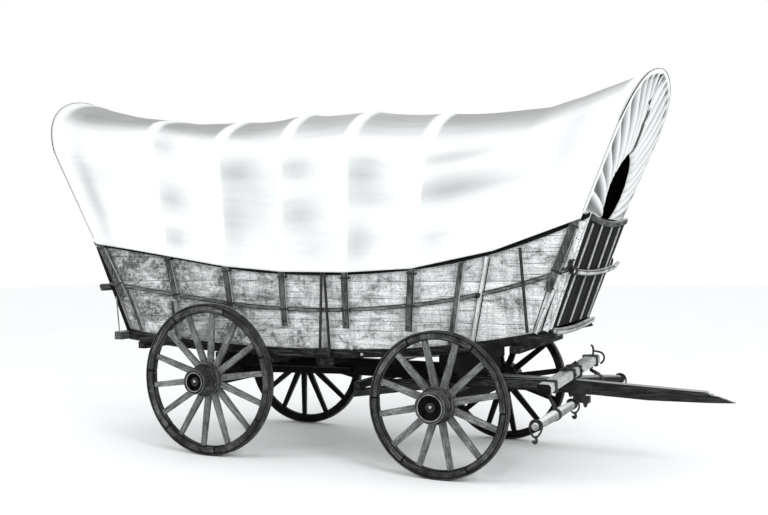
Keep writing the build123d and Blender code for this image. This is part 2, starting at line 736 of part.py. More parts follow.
def single_tree(name, frame):
    tree = SINGLE_TREES[name]
    x, y, z = swivel(frame, tree)
    centre = (tree["x"], tree["hang"], tree["z"])
    place = placed(*centre, tree["turn"], tree["tilt"])
    profile = [(0, -SINGLE_HALF), (26, -SINGLE_HALF), (SINGLE_RADIUS, -SINGLE_HALF / 2),
               (SINGLE_RADIUS + 3, 0), (SINGLE_RADIUS, SINGLE_HALF / 2), (26, SINGLE_HALF),
               (0, SINGLE_HALF)]
    bar = revolve(make_face(Polyline(profile, close=True)), axis=Axis.Y)
    keep(name + "_singletree_bar", place * bar)
    band_ring = y_cylinder(0, 0, (-22, 22), SINGLE_RADIUS + 9) - bar
    stem_low = (centre[0], centre[1], centre[2] + SINGLE_RADIUS + 5)
    link = rod(stem_low, (x, y, z - SWIVEL["foot"]), SWIVEL["link_radius"]) - place * bar
    link += z_cylinder(x, y, (z - SWIVEL["foot"] - 6, z), SWIVEL["radius"])
    ends = []
    for side in (-1, 1):
        cap = y_cylinder(0, 0, sorted((side * (SINGLE_HALF - 60), side * (SINGLE_HALF - 22))), 38)
        ends.append(cap - bar)
    keep(name + "_singletree_irons", place * band_ring + link, [place * e for e in ends])


# ---- tailgate -----------------------------------------------------------------------------------
def tailgate():
    """Drop gate: planks, battens and strap hinges that turn on pins at the rear crosspiece."""
    plane = raked_plane(-1090, 1062, REAR_RAKE, -1)
    foot, height = 30.0, 790.0
    rough = plane.location * Pos(0, foot + height / 2, GAP - BOARD / 2) * Box(1500, height, BOARD)
    panel = rough & wedge(-BOARD - GAP, (-1700, -800), (900, 2100))
    planks = 6
    for i in range(1, planks):
        y = -600 + 1200.0 / planks * i
        panel = panel - box((-1800, -800), (y - SEAM / 2, y + SEAM / 2), (900, 2100))
    keep("tailgate_boards", panel)

    axis = (plane.location * Pos(0, HINGE["up"], HINGE["out"])).position
    wide, thick, length = STRAP
    straps = []
    pins = []
    for y in HINGE["places"]:
        local_y = -y
        leaf = plane.location * Pos(local_y, HINGE["up"] + length / 2, GAP + thick / 2) * Box(
            wide, length, thick)
        eye = y_cylinder(axis.X, axis.Z, (y - wide / 2, y + wide / 2), HINGE["knuckle"])
        hole = y_cylinder(axis.X, axis.Z, (y - 90, y + 90), HINGE["radius"] + RUNNING_FIT)
        straps.append(leaf + eye - hole)
        pin = y_cylinder(axis.X, axis.Z, (y - 42, y + 42), HINGE["radius"])
        for side in (-1, 1):
            ys = sorted((y + side * (wide / 2 + GAP), y + side * 42))
            cheek = box((axis.X - 13, axis.X + 13), ys, (REAR_CROSSPIECE["z"][1], axis.Z + 11))
            pin = pin + cheek
        pins.append(pin)
    keep("tailgate_straps", straps)
    keep("tailgate_hinge_pins", pins)

    battens = []
    for level, half in ((125, 560), (430, 764), (745, 590)):
        batten = plane.location * Pos(0, level, GAP + 18) * Box(2 * half, 60, 36)
        for strap in straps:
            batten = batten - strap
        battens.append(batten)
    keep("tailgate_battens", battens)


def build():
    sky = above_underside()
    crosspieces = front_end()
    rear = REAR_CROSSPIECE
    crosspieces.append(box(rear["x"], (-rear["half"], rear["half"]), rear["z"]))
    keep("end_crosspieces", crosspieces)
    rails, sill = body_sides(crosspieces)
    beams = floor_and_cross_sills(sky)
    rods, uprights = standards(rails, sill, beams)
    sheet, room = cover_sheet()
    keep("cover_sheet", sheet)
    hoops = bows(room)
    keep("side_irons", rods, bow_staples(hoops, rails + uprights))
    keep("cover_front", gathered_end(BOWS["front_bow"], 1))
    keep("cover_rear", gathered_end(BOWS["rear_bow"], -1))
    reach = rear_gear(sky)
    front_gear(reach, sky)
    frame = evener()
    for name in SINGLE_TREES:
        single_tree(name, frame)
    tailgate()
    for end, x, size in (("rear", 0.0, REAR_WHEEL), ("front", WHEELBASE, FRONT_WHEEL)):
        for side_name, side in (("right", -1), ("left", 1)):
            wheel(side_name + "_" + end, x, side, **size)


if __name__ == "__main__":
    build()
    os.makedirs("parts", exist_ok=True)
    for node, shape in NODES.items():
        export_step(shape, "parts/" + node + ".step")
    corners = Compound(children=[s for n in NODES.values() for s in solids_of(n)]).bounding_box()
    print("box", corners.min, corners.max)
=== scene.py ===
import json
import math
import random

import bpy
import numpy as np
from mathutils import Matrix, Vector


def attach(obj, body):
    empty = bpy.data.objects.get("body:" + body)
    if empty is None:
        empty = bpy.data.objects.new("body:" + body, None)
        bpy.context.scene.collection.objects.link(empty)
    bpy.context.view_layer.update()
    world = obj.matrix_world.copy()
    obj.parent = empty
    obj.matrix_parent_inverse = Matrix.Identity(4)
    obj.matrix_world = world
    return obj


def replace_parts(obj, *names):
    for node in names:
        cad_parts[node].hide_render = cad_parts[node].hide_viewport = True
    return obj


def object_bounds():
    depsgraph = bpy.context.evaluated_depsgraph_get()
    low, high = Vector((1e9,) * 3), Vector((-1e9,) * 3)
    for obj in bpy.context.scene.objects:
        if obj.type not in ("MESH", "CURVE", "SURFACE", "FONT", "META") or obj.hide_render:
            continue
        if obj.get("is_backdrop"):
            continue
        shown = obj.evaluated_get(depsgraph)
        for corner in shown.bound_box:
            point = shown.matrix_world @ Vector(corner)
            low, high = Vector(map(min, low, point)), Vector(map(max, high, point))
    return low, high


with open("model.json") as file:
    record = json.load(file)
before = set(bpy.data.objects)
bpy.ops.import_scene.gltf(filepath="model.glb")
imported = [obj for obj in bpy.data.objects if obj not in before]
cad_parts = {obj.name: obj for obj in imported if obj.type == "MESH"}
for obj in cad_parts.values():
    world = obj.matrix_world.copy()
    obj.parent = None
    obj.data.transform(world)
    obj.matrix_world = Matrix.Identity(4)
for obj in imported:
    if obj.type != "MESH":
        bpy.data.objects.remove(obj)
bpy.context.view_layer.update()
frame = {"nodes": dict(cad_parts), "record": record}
NODES = frame["nodes"]
BODY_OF = {n: b for b, nodes in frame["record"]["behaviour"]["bodies"].items() for n in nodes}
SLOT_OF = {row["node"]: row["material_slot"] for row in frame["record"]["subparts"]}

MIDDLE = 1.0444                    # station of the origin, forward of the rear axle
FLARE = math.radians(5.0)          # lean of the plank sides
SIDE_Y, SIDE_Z = 0.600, 0.930      # half width over the boards, and the height it is taken at
TRACK = 1.660
SIDES = (("right", -1), ("left", 1))
# hub_end is the hub's end from the middle of the rim, hollow the radius of its mouth, and dark the
# radius inside which the end is painted black, as painted shade in the hollow
WHEELS = dict(
    rear=dict(x=-MIDDLE, radius=0.6605, hub_end=0.198, hollow=0.072, dark=0.0735),
    front=dict(x=2.160 - MIDDLE, radius=0.5715, hub_end=0.163, hollow=0.092, dark=0.0935),
)


def at(station, y, z):
    """Point in the wagon's frame, given by its station."""
    return Vector((station - MIDDLE, y, z))


# ---- finishes -----------------------------------------------------------------------------------
def new_finish(name):
    material = bpy.data.materials.new(name)
    material.use_nodes = True
    return material, material.node_tree, material.node_tree.nodes["Principled BSDF"]


def put(tree, kind, settings=None, **sockets):
    """Adds a node; sockets are given by name with _ for a space."""
    node = tree.nodes.new(kind)
    for key, value in (settings or {}).items():
        setattr(node, key, value)
    for key, value in sockets.items():
        node.inputs[key.replace("_", " ")].default_value = value
    return node


def read(tree, name, output="Fac"):
    """Value of one of the piece's own attributes."""
    return put(tree, "ShaderNodeAttribute", {"attribute_name": name}).outputs[output]


def reckoned(tree, operation, first, second):
    node = put(tree, "ShaderNodeMath", {"operation": operation})
    tree.links.new(first, node.inputs[0])
    tree.links.new(second, node.inputs[1])
    return node.outputs[0]


def ramp(tree, source, stops):
    node = tree.nodes.new("ShaderNodeValToRGB")
    while len(node.color_ramp.elements) < len(stops):
        node.color_ramp.elements.new(0.5)
    for element, (place, colour) in zip(node.color_ramp.elements, stops):
        element.position = place
        element.color = (*colour, 1) if hasattr(colour, "__len__") else (colour,) * 3 + (1,)
    tree.links.new(source, node.inputs[0])
    return node.outputs[0]


def noise(tree, vector, scale, detail, rough, twist=0.0):
    node = put(tree, "ShaderNodeTexNoise", Scale=scale, Detail=detail, Roughness=rough,
               Distortion=twist)
    tree.links.new(vector, node.inputs["Vector"])
    return node.outputs["Fac"]


def stretched(tree, vector, scale):
    node = put(tree, "ShaderNodeMapping", Scale=scale)
    tree.links.new(vector, node.inputs["Vector"])
    return node.outputs["Vector"]


def mixed(tree, kind, share, first, second):
    """Mixes two colours; each input is a socket or a plain colour."""
    node = put(tree, "ShaderNodeMix", {"data_type": "RGBA", "blend_type": kind})
    for socket, value in zip((node.inputs[0], node.inputs[6], node.inputs[7]),
                             (share, first, second)):
        if isinstance(value, bpy.types.NodeSocket):
            tree.links.new(value, socket)
        else:
            socket.default_value = value if not hasattr(value, "__len__") else (*value, 1)
    return node.outputs[2]


def darkened(tree, body, share, source, *stops):
    """Multiplies a colour by a ramp over a pattern."""
    return mixed(tree, "MULTIPLY", share, body, ramp(tree, source, stops))


def tint(level):
    """Cool grey of a brightness."""
    return (level * 0.975, level, level * 1.005)


def relief(tree, shader, height, strength, distance):
    bump = put(tree, "ShaderNodeBump", Strength=strength, Distance=distance)
    tree.links.new(height, bump.inputs["Height"])
    tree.links.new(bump.outputs[0], shader.inputs["Normal"])


def dusted_and_top_lit(tree, body, level, share):
    """Lighter on what faces up: sun-bleaching and dust, and painted top light."""
    facing = put(tree, "ShaderNodeSeparateXYZ")
    tree.links.new(put(tree, "ShaderNodeNewGeometry").outputs["Normal"], facing.inputs[0])
    top = ramp(tree, facing.outputs["Z"], ((0.40, 0.0), (0.85, share)))
    return mixed(tree, "MIX", top, body, tint(level))


def timber(name):
    """A new finish with the grain and tone of a piece and its place, to lay patterns on."""
    material, tree, shader = new_finish(name)
    return (material, tree, shader, read(tree, "grain", "Vector"), read(tree, "tone"),
            put(tree, "ShaderNodeTexCoord").outputs["Object"])


def wood_surface(tree, shader, body, specks, dull, height):
    """Colour, dullness and relief of bare timber."""
    tree.links.new(body, shader.inputs["Base Color"])
    tree.links.new(ramp(tree, specks, ((0.3, dull[0]), (0.7, dull[1]))),
                   shader.inputs["Roughness"])
    relief(tree, shader, height, 0.5, 0.004)
    shader.inputs["Specular IOR Level"].default_value = 0.08


def old_wood(name, dark, middle, pale, dirt_and_shade, speck=0.5, dust=None):
    """Aged timber: long grain on the grain attribute, checks, dirt in blotches and speckle."""
    material, tree, shader, along, tone, place = timber(name)
    fibres = noise(tree, stretched(tree, along, (1.6, 26, 26)), 3.2, 9, 0.66, 0.5)
    checks = noise(tree, stretched(tree, along, (1.1, 60, 60)), 3.0, 4, 0.5, 0.2)
    blotches = noise(tree, place, 5.5, 7, 0.62, 0.6)
    specks = noise(tree, place, 85, 4, 0.6)
    body = ramp(tree, fibres, ((0.30, tint(dark)), (0.5, tint(middle)), (0.72, tint(pale))))
    cracks = ramp(tree, checks, ((0.34, 0.0), (0.40, 1.0)))
    body = mixed(tree, "MULTIPLY", 0.55, body, cracks)
    body = darkened(tree, body, 0.9, blotches, (0.36, dirt_and_shade), (0.58, 1.0))
    body = darkened(tree, body, 0.8, specks, (0.38, 1.0 - speck), (0.62, 1.0))
    body = darkened(tree, body, 1.0, tone, (0.0, 0.72), (1.0, 1.0))
    # upward faces lighter: dust, and painted light on the top faces
    if dust:
        body = mixed(tree, "MULTIPLY", 0.35, dusted_and_top_lit(tree, body, dust, 0.9), cracks)
    wood_surface(tree, shader, body, specks, (0.62, 0.9),
                 mixed(tree, "MULTIPLY", 0.6, fibres, cracks))
    return material


def side_planks(name, dark, middle, pale):
    """Silvered planks: dark mould in blotches, more of it to the rear, and streaks."""
    material, tree, shader, along, tone, place = timber(name)
    apart = put(tree, "ShaderNodeSeparateXYZ")
    tree.links.new(place, apart.inputs[0])
    fibres = noise(tree, stretched(tree, along, (1.4, 30, 30)), 3.0, 9, 0.68, 0.5)
    checks = noise(tree, stretched(tree, along, (0.9, 55, 55)), 3.0, 4, 0.5, 0.2)
    blotches = noise(tree, stretched(tree, place, (1.0, 1.0, 1.7)), 4.6, 9, 0.70, 0.8)
    mottle = noise(tree, place, 34, 6, 0.66, 0.4)
    drips = noise(tree, stretched(tree, place, (9.0, 9.0, 1.1)), 1.6, 6, 0.66, 0.5)
    specks = noise(tree, place, 120, 3, 0.6)
    body = ramp(tree, fibres, ((0.28, tint(dark)), (0.46, tint(middle)), (0.64, tint(pale))))
    body = darkened(tree, body, 0.75, checks, (0.33, 0.05), (0.385, 1.0))
    rearward = put(tree, "ShaderNodeMapRange", From_Min=-2.6, From_Max=1.6, To_Min=0.115,
                   To_Max=-0.050)
    tree.links.new(apart.outputs["X"], rearward.inputs["Value"])
    mould = reckoned(tree, "SUBTRACT", blotches, rearward.outputs["Result"])
    stain = ramp(tree, mould, ((0.37, 0.16), (0.45, 0.55), (0.54, 1.0)))
    stain = mixed(tree, "SCREEN", 0.5, stain, ramp(tree, mottle, ((0.46, 0.0), (0.60, 1.0))))
    body = mixed(tree, "MULTIPLY", 0.95, body, stain)
    body = darkened(tree, body, 0.40, drips, (0.38, 0.25), (0.50, 1.0))
    body = darkened(tree, body, 0.8, specks, (0.36, 0.15), (0.46, 1.0))
    body = darkened(tree, body, 1.0, tone, (0.0, 0.85), (1.0, 1.0))
    wood_surface(tree, shader, body, specks, (0.7, 0.92),
                 mixed(tree, "MULTIPLY", 0.7, fibres, checks))
    return material


def old_iron(name, dark, pale, metal, rough):
    """Hand-forged iron: scale, pits and rubbed patches."""
    material, tree, shader = new_finish(name)
    place = put(tree, "ShaderNodeTexCoord").outputs["Object"]
    patches = noise(tree, place, 14, 7, 0.62, 0.3)
    pits = noise(tree, place, 160, 4, 0.6)
    body = ramp(tree, patches, ((0.36, tint(dark)), (0.66, tint(pale))))
    body = darkened(tree, body, 0.5, pits, (0.35, 0.55), (0.6, 1.0))
    tree.links.new(body, shader.inputs["Base Color"])
    shader.inputs["Metallic"].default_value = metal
    tree.links.new(ramp(tree, patches, ((0.3, rough + 0.15), (0.7, rough - 0.1))),
                   shader.inputs["Roughness"])
    relief(tree, shader, pits, 0.35, 0.002)
    return material


def sail_canvas(name, pale, grey):
    """Heavy canvas: plain weave on the cloth's own UV, long soft streaks, and the grey of painted
    shade from the cloth's own attribute.
    """
    material, tree, shader = new_finish(name)
    uv = put(tree, "ShaderNodeTexCoord").outputs["UV"]
    grime = read(tree, "grime")
    streaks = noise(tree, stretched(tree, uv, (1.0, 9.0, 1.0)), 1.6, 7, 0.62, 0.5)
    blotches = noise(tree, uv, 2.4, 6, 0.6, 0.4)
    weave = []
    for direction in ("X", "Y"):
        wave = put(tree, "ShaderNodeTexWave",
                   {"bands_direction": direction, "wave_profile": "SIN"},
                   Scale=130.0, Distortion=0.6, Detail=1.0)
        tree.links.new(uv, wave.inputs["Vector"])
        weave.append(wave.outputs["Fac"])
    threads = mixed(tree, "MULTIPLY", 1.0, weave[0], weave[1])
    body = ramp(tree, streaks, ((0.30, tint(pale * 0.93)), (0.52, tint(pale))))
    body = darkened(tree, body, 0.12, blotches, (0.3, 0.7), (0.6, 1.0))
    # grey painted shade, broken up by the streaks
    broken = reckoned(tree, "MULTIPLY", grime,
                      ramp(tree, streaks, ((0.30, 1.0), (0.70, 0.90))))
    body = mixed(tree, "MIX", broken, body, tint(grey))
    body = mixed(tree, "MULTIPLY", 0.12, body, threads)
    tree.links.new(body, shader.inputs["Base Color"])
    shader.inputs["Roughness"].default_value = 0.92
    shader.inputs["Specular IOR Level"].default_value = 0.15
    shader.inputs["Sheen Weight"].default_value = 0.15
    relief(tree, shader, threads, 0.25, 0.0008)
    return material


FINISH = dict(
    board_wood=side_planks("silvered_boards", 0.34, 0.70, 0.95),
    frame_wood=old_wood("weathered_framing", 0.035, 0.13, 0.34, 0.35, 0.6, dust=0.40),
    gear_wood=old_wood("dark_running_gear", 0.004, 0.009, 0.026, 0.5, 0.4, dust=0.13),
    tree_wood=old_wood("pale_hickory", 0.035, 0.09, 0.24, 0.35, 0.3, dust=0.95),
    wheel_wood=old_wood("worn_wheel_paint", 0.012, 0.085, 0.34, 0.30, 0.7),
    tyre_iron=old_iron("worn_tyre_iron", 0.012, 0.07, 0.3, 0.6),
    wrought_iron=old_iron("black_wrought_iron", 0.006, 0.03, 0.35, 0.6),
    canvas=sail_canvas("sail_canvas", 0.86, 0.07),
)
# near-black front planks: dark wood, and painted shade on the front of the box
SHADED_FRONT_PLANK = old_wood("smoked_planks", 0.001, 0.002, 0.010, 0.6, 0.4)
PALE_RAIL = old_wood("bare_pale_rail", 0.36, 0.66, 0.90, 0.4, 0.4)
# pale battens on the front panel: bare wood, and painted light along their lit edges
LIT_BATTEN_WOOD = old_wood("bare_batten", 0.34, 0.60, 0.85, 0.6, 0.4)
STRIP_IRON = old_wood("whitened_strip", 0.50, 0.86, 0.97, 0.7, 0.4)
RAIL_FACE = old_wood("rubbed_rail_face", 0.06, 0.22, 0.50, 0.35, 0.6, dust=0.5)
HUB_LIP = old_iron("hub_lip_iron", 0.10, 0.42, 0.3, 0.5)
BRIGHT_IRON = old_iron("rubbed_bright_iron", 0.40, 0.75, 0.2, 0.5)
HUB_BAND = old_iron("hub_band_iron", 0.015, 0.16, 0.3, 0.5)
PALE_TREE = old_wood("smooth_pale_tree", 0.22, 0.42, 0.66, 0.5, 0.3, dust=0.80)
SPOKE_PAINT = old_wood("rubbed_spoke_paint", 0.08, 0.26, 0.58, 0.5, 0.6)
SILL_WOOD = old_wood("muddy_sill", 0.006, 0.022, 0.16, 0.25, 0.6)
SWAY_WOOD = old_wood("dusty_sway_bar", 0.02, 0.06, 0.16, 0.5, 0.4, dust=0.26)
TONGUE_WOOD = old_wood("split_tongue_wood", 0.012, 0.035, 0.10, 0.5, 0.4, dust=0.42)
# near-black finish: mud, and painted shade in recesses, under the hem and on faces turned from the
# light
MUD_AND_SHADE = old_wood("mud_black", 0.003, 0.008, 0.03, 0.5, 0.5)
# near black for bevelled edges: tar, and painted shade along edges and in the gaps between parts
TARRED_AND_SHADED_EDGE = old_wood("tarred_edge", 0.003, 0.008, 0.02, 0.6, 0.3)
# pale finish that paints the light on faces lit from the front and from above
PAINTED_LIT_FACE = old_wood("bleached_edge", 0.40, 0.62, 0.80, 0.6, 0.3)
# near-black inside face of the cover, painted shade for the dark inside
SHADED_LINING = old_wood("canvas_lining", 0.03, 0.04, 0.05, 0.8, 0.2)
for node, cad_piece in NODES.items():
    cad_piece.data.materials.clear()
    cad_piece.data.materials.append(FINISH[SLOT_OF[node]])


# ---- making and finishing pieces ----------------------------------------------------------------
def only(piece):
    """Selects one object and makes it the active one."""
    bpy.ops.object.select_all(action="DESELECT")
    piece.select_set(True)
    bpy.context.view_layer.objects.active = piece


def points_of(piece):
    """The piece's vertices, one row each."""
    co = np.empty(len(piece.data.vertices) * 3, np.float32)
    piece.data.vertices.foreach_get("co", co)
    return co.reshape(-1, 3).astype(float)


def loose_parts(piece):
    """Number of the loose part that each vertex belongs to."""
    count = len(piece.data.vertices)
    ends = np.empty(len(piece.data.edges) * 2, np.int64)
    piece.data.edges.foreach_get("vertices", ends)
    a, b = ends.reshape(-1, 2).T
    label = np.arange(count)
    while True:
        low = np.minimum(label[a], label[b])
        fresh = label.copy()
        np.minimum.at(fresh, a, low)
        np.minimum.at(fresh, b, low)
        fresh = fresh[fresh]
        if (fresh == label).all():
            return np.unique(label, return_inverse=True)[1]
        label = fresh


GRAIN_AXIS = dict(x=(0, 1, 2), y=(1, 0, 2), z=(2, 0, 1))


def set_grain(piece, grain, wheel=None):
    """Writes where each point lies along and across the grain, and a tone for each loose part."""
    co = points_of(piece)
    if wheel:
        x, z = co[:, 0] - wheel["x"], co[:, 2] - wheel["radius"]
        reach, turn = np.hypot(x, z), np.arctan2(z, x)
        if grain == "spoke":
            vector = np.stack([reach, turn * 0.4, co[:, 1]], 1)
        else:
            vector = np.stack([turn * wheel["radius"], reach, co[:, 1]], 1)
    else:
        vector = co[:, GRAIN_AXIS[grain]]
    part = loose_parts(piece)
    shift = random.Random(piece.name)
    tone = np.array([shift.random() for _ in range(part.max() + 1)])
    vector = vector + (tone[part] * 7.0)[:, None]
    attribute = piece.data.attributes.new("grain", "FLOAT_VECTOR", "POINT")
    attribute.data.foreach_set("vector", vector.astype(np.float32).ravel())
    attribute = piece.data.attributes.new("tone", "FLOAT", "POINT")
    attribute.data.foreach_set("value", tone[part].astype(np.float32))


def smoothed(piece, angle=32):
    """Smooth shading, but for edges sharper than the angle in degrees."""
    only(piece)
    bpy.ops.object.shade_smooth_by_angle(angle=math.radians(angle))


def modified(piece, kind, **settings):
    """Adds a modifier and applies it."""
    only(piece)
    step = piece.modifiers.new("step", kind)
    for key, value in settings.items():
        setattr(step, key, value)
    bpy.ops.object.modifier_apply(modifier=step.name)


MERGE = 0.00002                    # corners nearer than this are one
FLAT_TURN, SHARP_TURN = math.radians(0.6), math.radians(38)


def worn(node, edge, grain="x", finish=None, wheel=None, segments=2, rim=TARRED_AND_SHADED_EDGE):
    """A copy of a construction node with rounded edges, dark with tar and painted edge shade,
    which stands in for it.
    """
    source = NODES[node]
    piece = source.copy()
    piece.data = source.data.copy()
    piece.name = node + "_worn"
    piece.data.name = piece.name
    piece.parent = None
    for key in list(piece.keys()):
        del piece[key]
    bpy.context.scene.collection.objects.link(piece)
    piece.matrix_world = Matrix.Identity(4)
    only(piece)
    bpy.ops.object.mode_set(mode="EDIT")
    bpy.ops.mesh.select_all(action="SELECT")
    bpy.ops.mesh.remove_doubles(threshold=MERGE)
    bpy.ops.mesh.dissolve_limited(angle_limit=FLAT_TURN)
    bpy.ops.object.mode_set(mode="OBJECT")
    slot = SLOT_OF[node]
    piece.data.materials.clear()
    piece.data.materials.append(finish or FINISH[slot])
    piece.data.materials.append(rim or finish or FINISH[slot])
    modified(piece, "BEVEL", width=edge, segments=segments, limit_method="ANGLE",
             angle_limit=SHARP_TURN, material=1)
    smoothed(piece)
    set_grain(piece, grain, wheel)
    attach(piece, BODY_OF[node])
    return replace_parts(piece, node)


def painted(piece, finish, chosen):
    """Gives another finish to the single faces that pass the test."""
    piece.data.materials.append(finish)
    slot = len(piece.data.materials) - 1
    for face in piece.data.polygons:
        if chosen(face):
            face.material_index = slot


def repainted(piece, finish, chosen):
    """Gives another finish to the loose parts whose middle passes, but for their edges."""
    co, part = points_of(piece), loose_parts(piece)
    wanted = {i for i in range(part.max() + 1) if chosen(co[part == i].mean(0))}
    painted(piece, finish,
            lambda face: part[face.vertices[0]] in wanted and face.material_index == 0)


def front_faces_painted_lit(piece):
    """Painted light: the faces towards the team are pale, as if lit from the front."""
    painted(piece, PAINTED_LIT_FACE, lambda face: face.normal.x > 0.72)


def mud_and_shade_inside(piece, side, hub_of=None):
    """Mud and painted shade on the faces towards the wagon, and painted shade as a black hollow in
    the end of a wheel's hub.
    """
    inner_way = 1 if side == "right" else -1

    def chosen(face):
        if face.normal.y * inner_way > 0.35:
            return True
        if not hub_of:
            return False
        reach = math.hypot(face.center.x - hub_of["x"], face.center.z - hub_of["radius"])
        return reach < hub_of["dark"] and abs(face.center.y) > TRACK / 2 + 0.09

    painted(piece, MUD_AND_SHADE, chosen)


# ---- canvas cover -------------------------------------------------------------------------------
# bows: foot station and height, lean in degrees, half width, height, rise of the crown, shoulder
BOWS = (
    (-1.368, 1.877, 27.5, 0.790, 1.680, 0.765, 0.88),
    (-0.540, 1.757, 11.0, 0.700, 1.330, 0.370, 0.90),
    (0.100, 1.657, 5.5, 0.695, 1.358, 0.480, 0.80),
    (0.678, 1.609, 1.0, 0.709, 1.422, 0.610, 0.76),
    (1.288, 1.601, -1.0, 0.709, 1.407, 0.540, 0.78),
    (1.894, 1.630, -5.5, 0.690, 1.306, 0.600, 0.78),
    (3.262, 1.987, -23.5, 0.792, 1.235, 0.550, 0.90),
)
REAR_SAG = (-0.954, 1.820, 19.0, 0.745, 1.462, 0.560, 0.89)
FRONT_SAG = (2.585, 1.762, -15.5, 0.745, 1.222, 0.560, 0.80)
LEG_OUT = 0.0535                   # cover's outer face from the boards, at the rail
HEM_DROP = 0.014                   # hem of the sides below the foot of the arch
END_HEM = 0.012                    # hem of the drawn-in ends above the foot of their bow
BOW_HALF = 0.031                   # half the width of a bow, which holds the cloth up
END_BOW = 0.092                    # an end bow lies wholly on the inner side of its section
ROWS = 181                         # points round the arch
CLOTH_IN = 0.0005                  # how far the cloth lies inside the outline of its bow


def side_y(z, out):
    """Half width of the box at a height, out from its boards."""
    return SIDE_Y + (z - SIDE_Z) * math.tan(FLARE) + out / math.cos(FLARE)


def arch_points(row):
    """Outline of an arch in its own plane, right foot to left foot, evenly spaced."""
    _, foot_z, lean, half, height, rise, share = row
    shoulder = share * min(half, rise)
    crown = ((half - shoulder) ** 2 + rise ** 2 - shoulder ** 2) / (2 * (rise - shoulder))
    spring = height - rise
    turn = math.atan2(spring - (height - crown), half - shoulder)
    base = side_y(foot_z, LEG_OUT)
    rate = math.cos(math.radians(lean)) * math.tan(FLARE)
    side = [(base - HEM_DROP * rate, -HEM_DROP), (base, 0.0)]
    side += [(half + (base - half) * (1 - k / 6), spring * k / 6) for k in range(1, 7)]
    side += [(half - shoulder + shoulder * math.cos(turn * k / 16),
              spring + shoulder * math.sin(turn * k / 16)) for k in range(1, 17)]
    tangent = side[-1]
    begin = math.atan2(tangent[1] - (height - crown), tangent[0])
    side += [(crown * math.cos(begin + (math.pi / 2 - begin) * k / 20),
              height - crown + crown * math.sin(begin + (math.pi / 2 - begin) * k / 20))
             for k in range(1, 21)]
    side = np.array(side)
    steps = np.r_[0, np.cumsum(np.hypot(*np.diff(side, axis=0).T))]
    even = np.linspace(0, steps[-1], ROWS // 2 + 1)
    left = np.stack([np.interp(even, steps, side[:, 0]), np.interp(even, steps, side[:, 1])], 1)
    right = left * (-1, 1)
    return np.r_[right, left[-2::-1]]


def in_plane(row, points, out=0.0):
    """Points of a bow's plane (across, up) in the wagon's frame; out is forward of the plane."""
    lean = math.radians(row[2])
    points = np.asarray(points)
    x = row[0] - MIDDLE - math.sin(lean) * points[:, 1] + math.cos(lean) * out
    z = row[1] + math.cos(lean) * points[:, 1] + math.sin(lean) * out
    return np.stack([x, points[:, 0], z], 1)


def inward(row, points):
    """Unit vectors of the plane that point to the inside of the arch, in the wagon's frame."""
    along = np.gradient(points, axis=0)
    across = np.stack([along[:, 1], -along[:, 0]], 1)
    across /= np.linalg.norm(across, axis=1)[:, None]
    return in_plane(row, across) - in_plane(row, np.zeros((1, 2)))


def smoothstep(value, low, high):
    share = np.clip((value - low) / (high - low), 0, 1)
    return share * share * (3 - 2 * share)


BESIDE_BOW = (0.0, 0.007, 0.016, 0.030, 0.050, 0.080, 0.12, 0.18)
OPEN_STEP = 0.06                   # spacing of the columns in the middle of a bay

# painted grey shade, in washes forward of the bows, alike on both sides
WASHES = (
    # bay, metres forward of its bow, metres up from the rail, half length, half height, strength
    (0, 0.17, 0.52, 0.10, 0.44, 0.50),
    (0, 0.20, 1.35, 0.24, 0.18, 0.28),
    (0, 0.42, 0.70, 0.22, 0.10, 0.12),
    (1, 0.10, 1.05, 0.15, 0.13, 0.34),
    (1, 0.14, 0.55, 0.17, 0.13, 0.46),
    (1, 0.12, 0.18, 0.15, 0.10, 0.42),
    (2, 0.14, 0.86, 0.21, 0.12, 0.52),
    (2, 0.10, 0.45, 0.17, 0.30, 0.42),
    (2, 0.38, 0.62, 0.17, 0.34, 0.24),
    (3, 0.12, 0.88, 0.19, 0.11, 0.46),
    (3, 0.16, 0.48, 0.23, 0.16, 0.44),
    (3, 0.32, 0.20, 0.20, 0.12, 0.24),
    (4, 0.12, 0.82, 0.21, 0.17, 0.54),
    (4, 0.18, 0.60, 0.30, 0.09, 0.30),
    (4, 0.10, 0.24, 0.17, 0.18, 0.44),
    (5, 0.22, 0.92, 0.36, 0.07, 0.48),
    (5, 0.20, 0.64, 0.38, 0.13, 0.54),
    (5, 0.60, 0.62, 0.42, 0.09, 0.26),
    (5, 0.16, 0.22, 0.19, 0.13, 0.26),
    (5, 1.22, 0.80, 0.15, 0.30, 0.28),
)
WASH_SHARE = 0.8
RIDGE_SHADE = (0.72, 0.72, 0.70, 0.62, 0.62, 0.74)    # painted shade along the top, bay by bay


def bay_steps(length, rear_hold, front_hold):
    """Distances from the rear bow of a bay, close together beside its two bows."""
    room = (length - rear_hold - front_hold) / 2
    beside = [d for d in BESIDE_BOW if d < room]
    count = max(2, round(2 * (room - beside[-1]) / OPEN_STEP))
    inner = np.linspace(rear_hold + beside[-1], length - front_hold - beside[-1], count + 1)[1:-1]
    return np.r_[0, rear_hold / 2, [rear_hold + d for d in beside], inner,
                 [length - front_hold - d for d in beside[::-1]], length - front_hold / 2]


def shade_washes(bay, d, up, hold):
    """Strength of the painted shade washes at a distance in a bay, for heights measured up the
    cloth.
    """
    total = np.zeros_like(up)
    for row_bay, along, height, half_long, half_high, strength in WASHES:
        if row_bay == bay:
            spread = ((d - hold - along) / half_long) ** 2 + ((up - height) / half_high) ** 2
            total += WASH_SHARE * strength * np.exp(-spread)
    return total * smoothstep(d - hold, 0.0, 0.010)


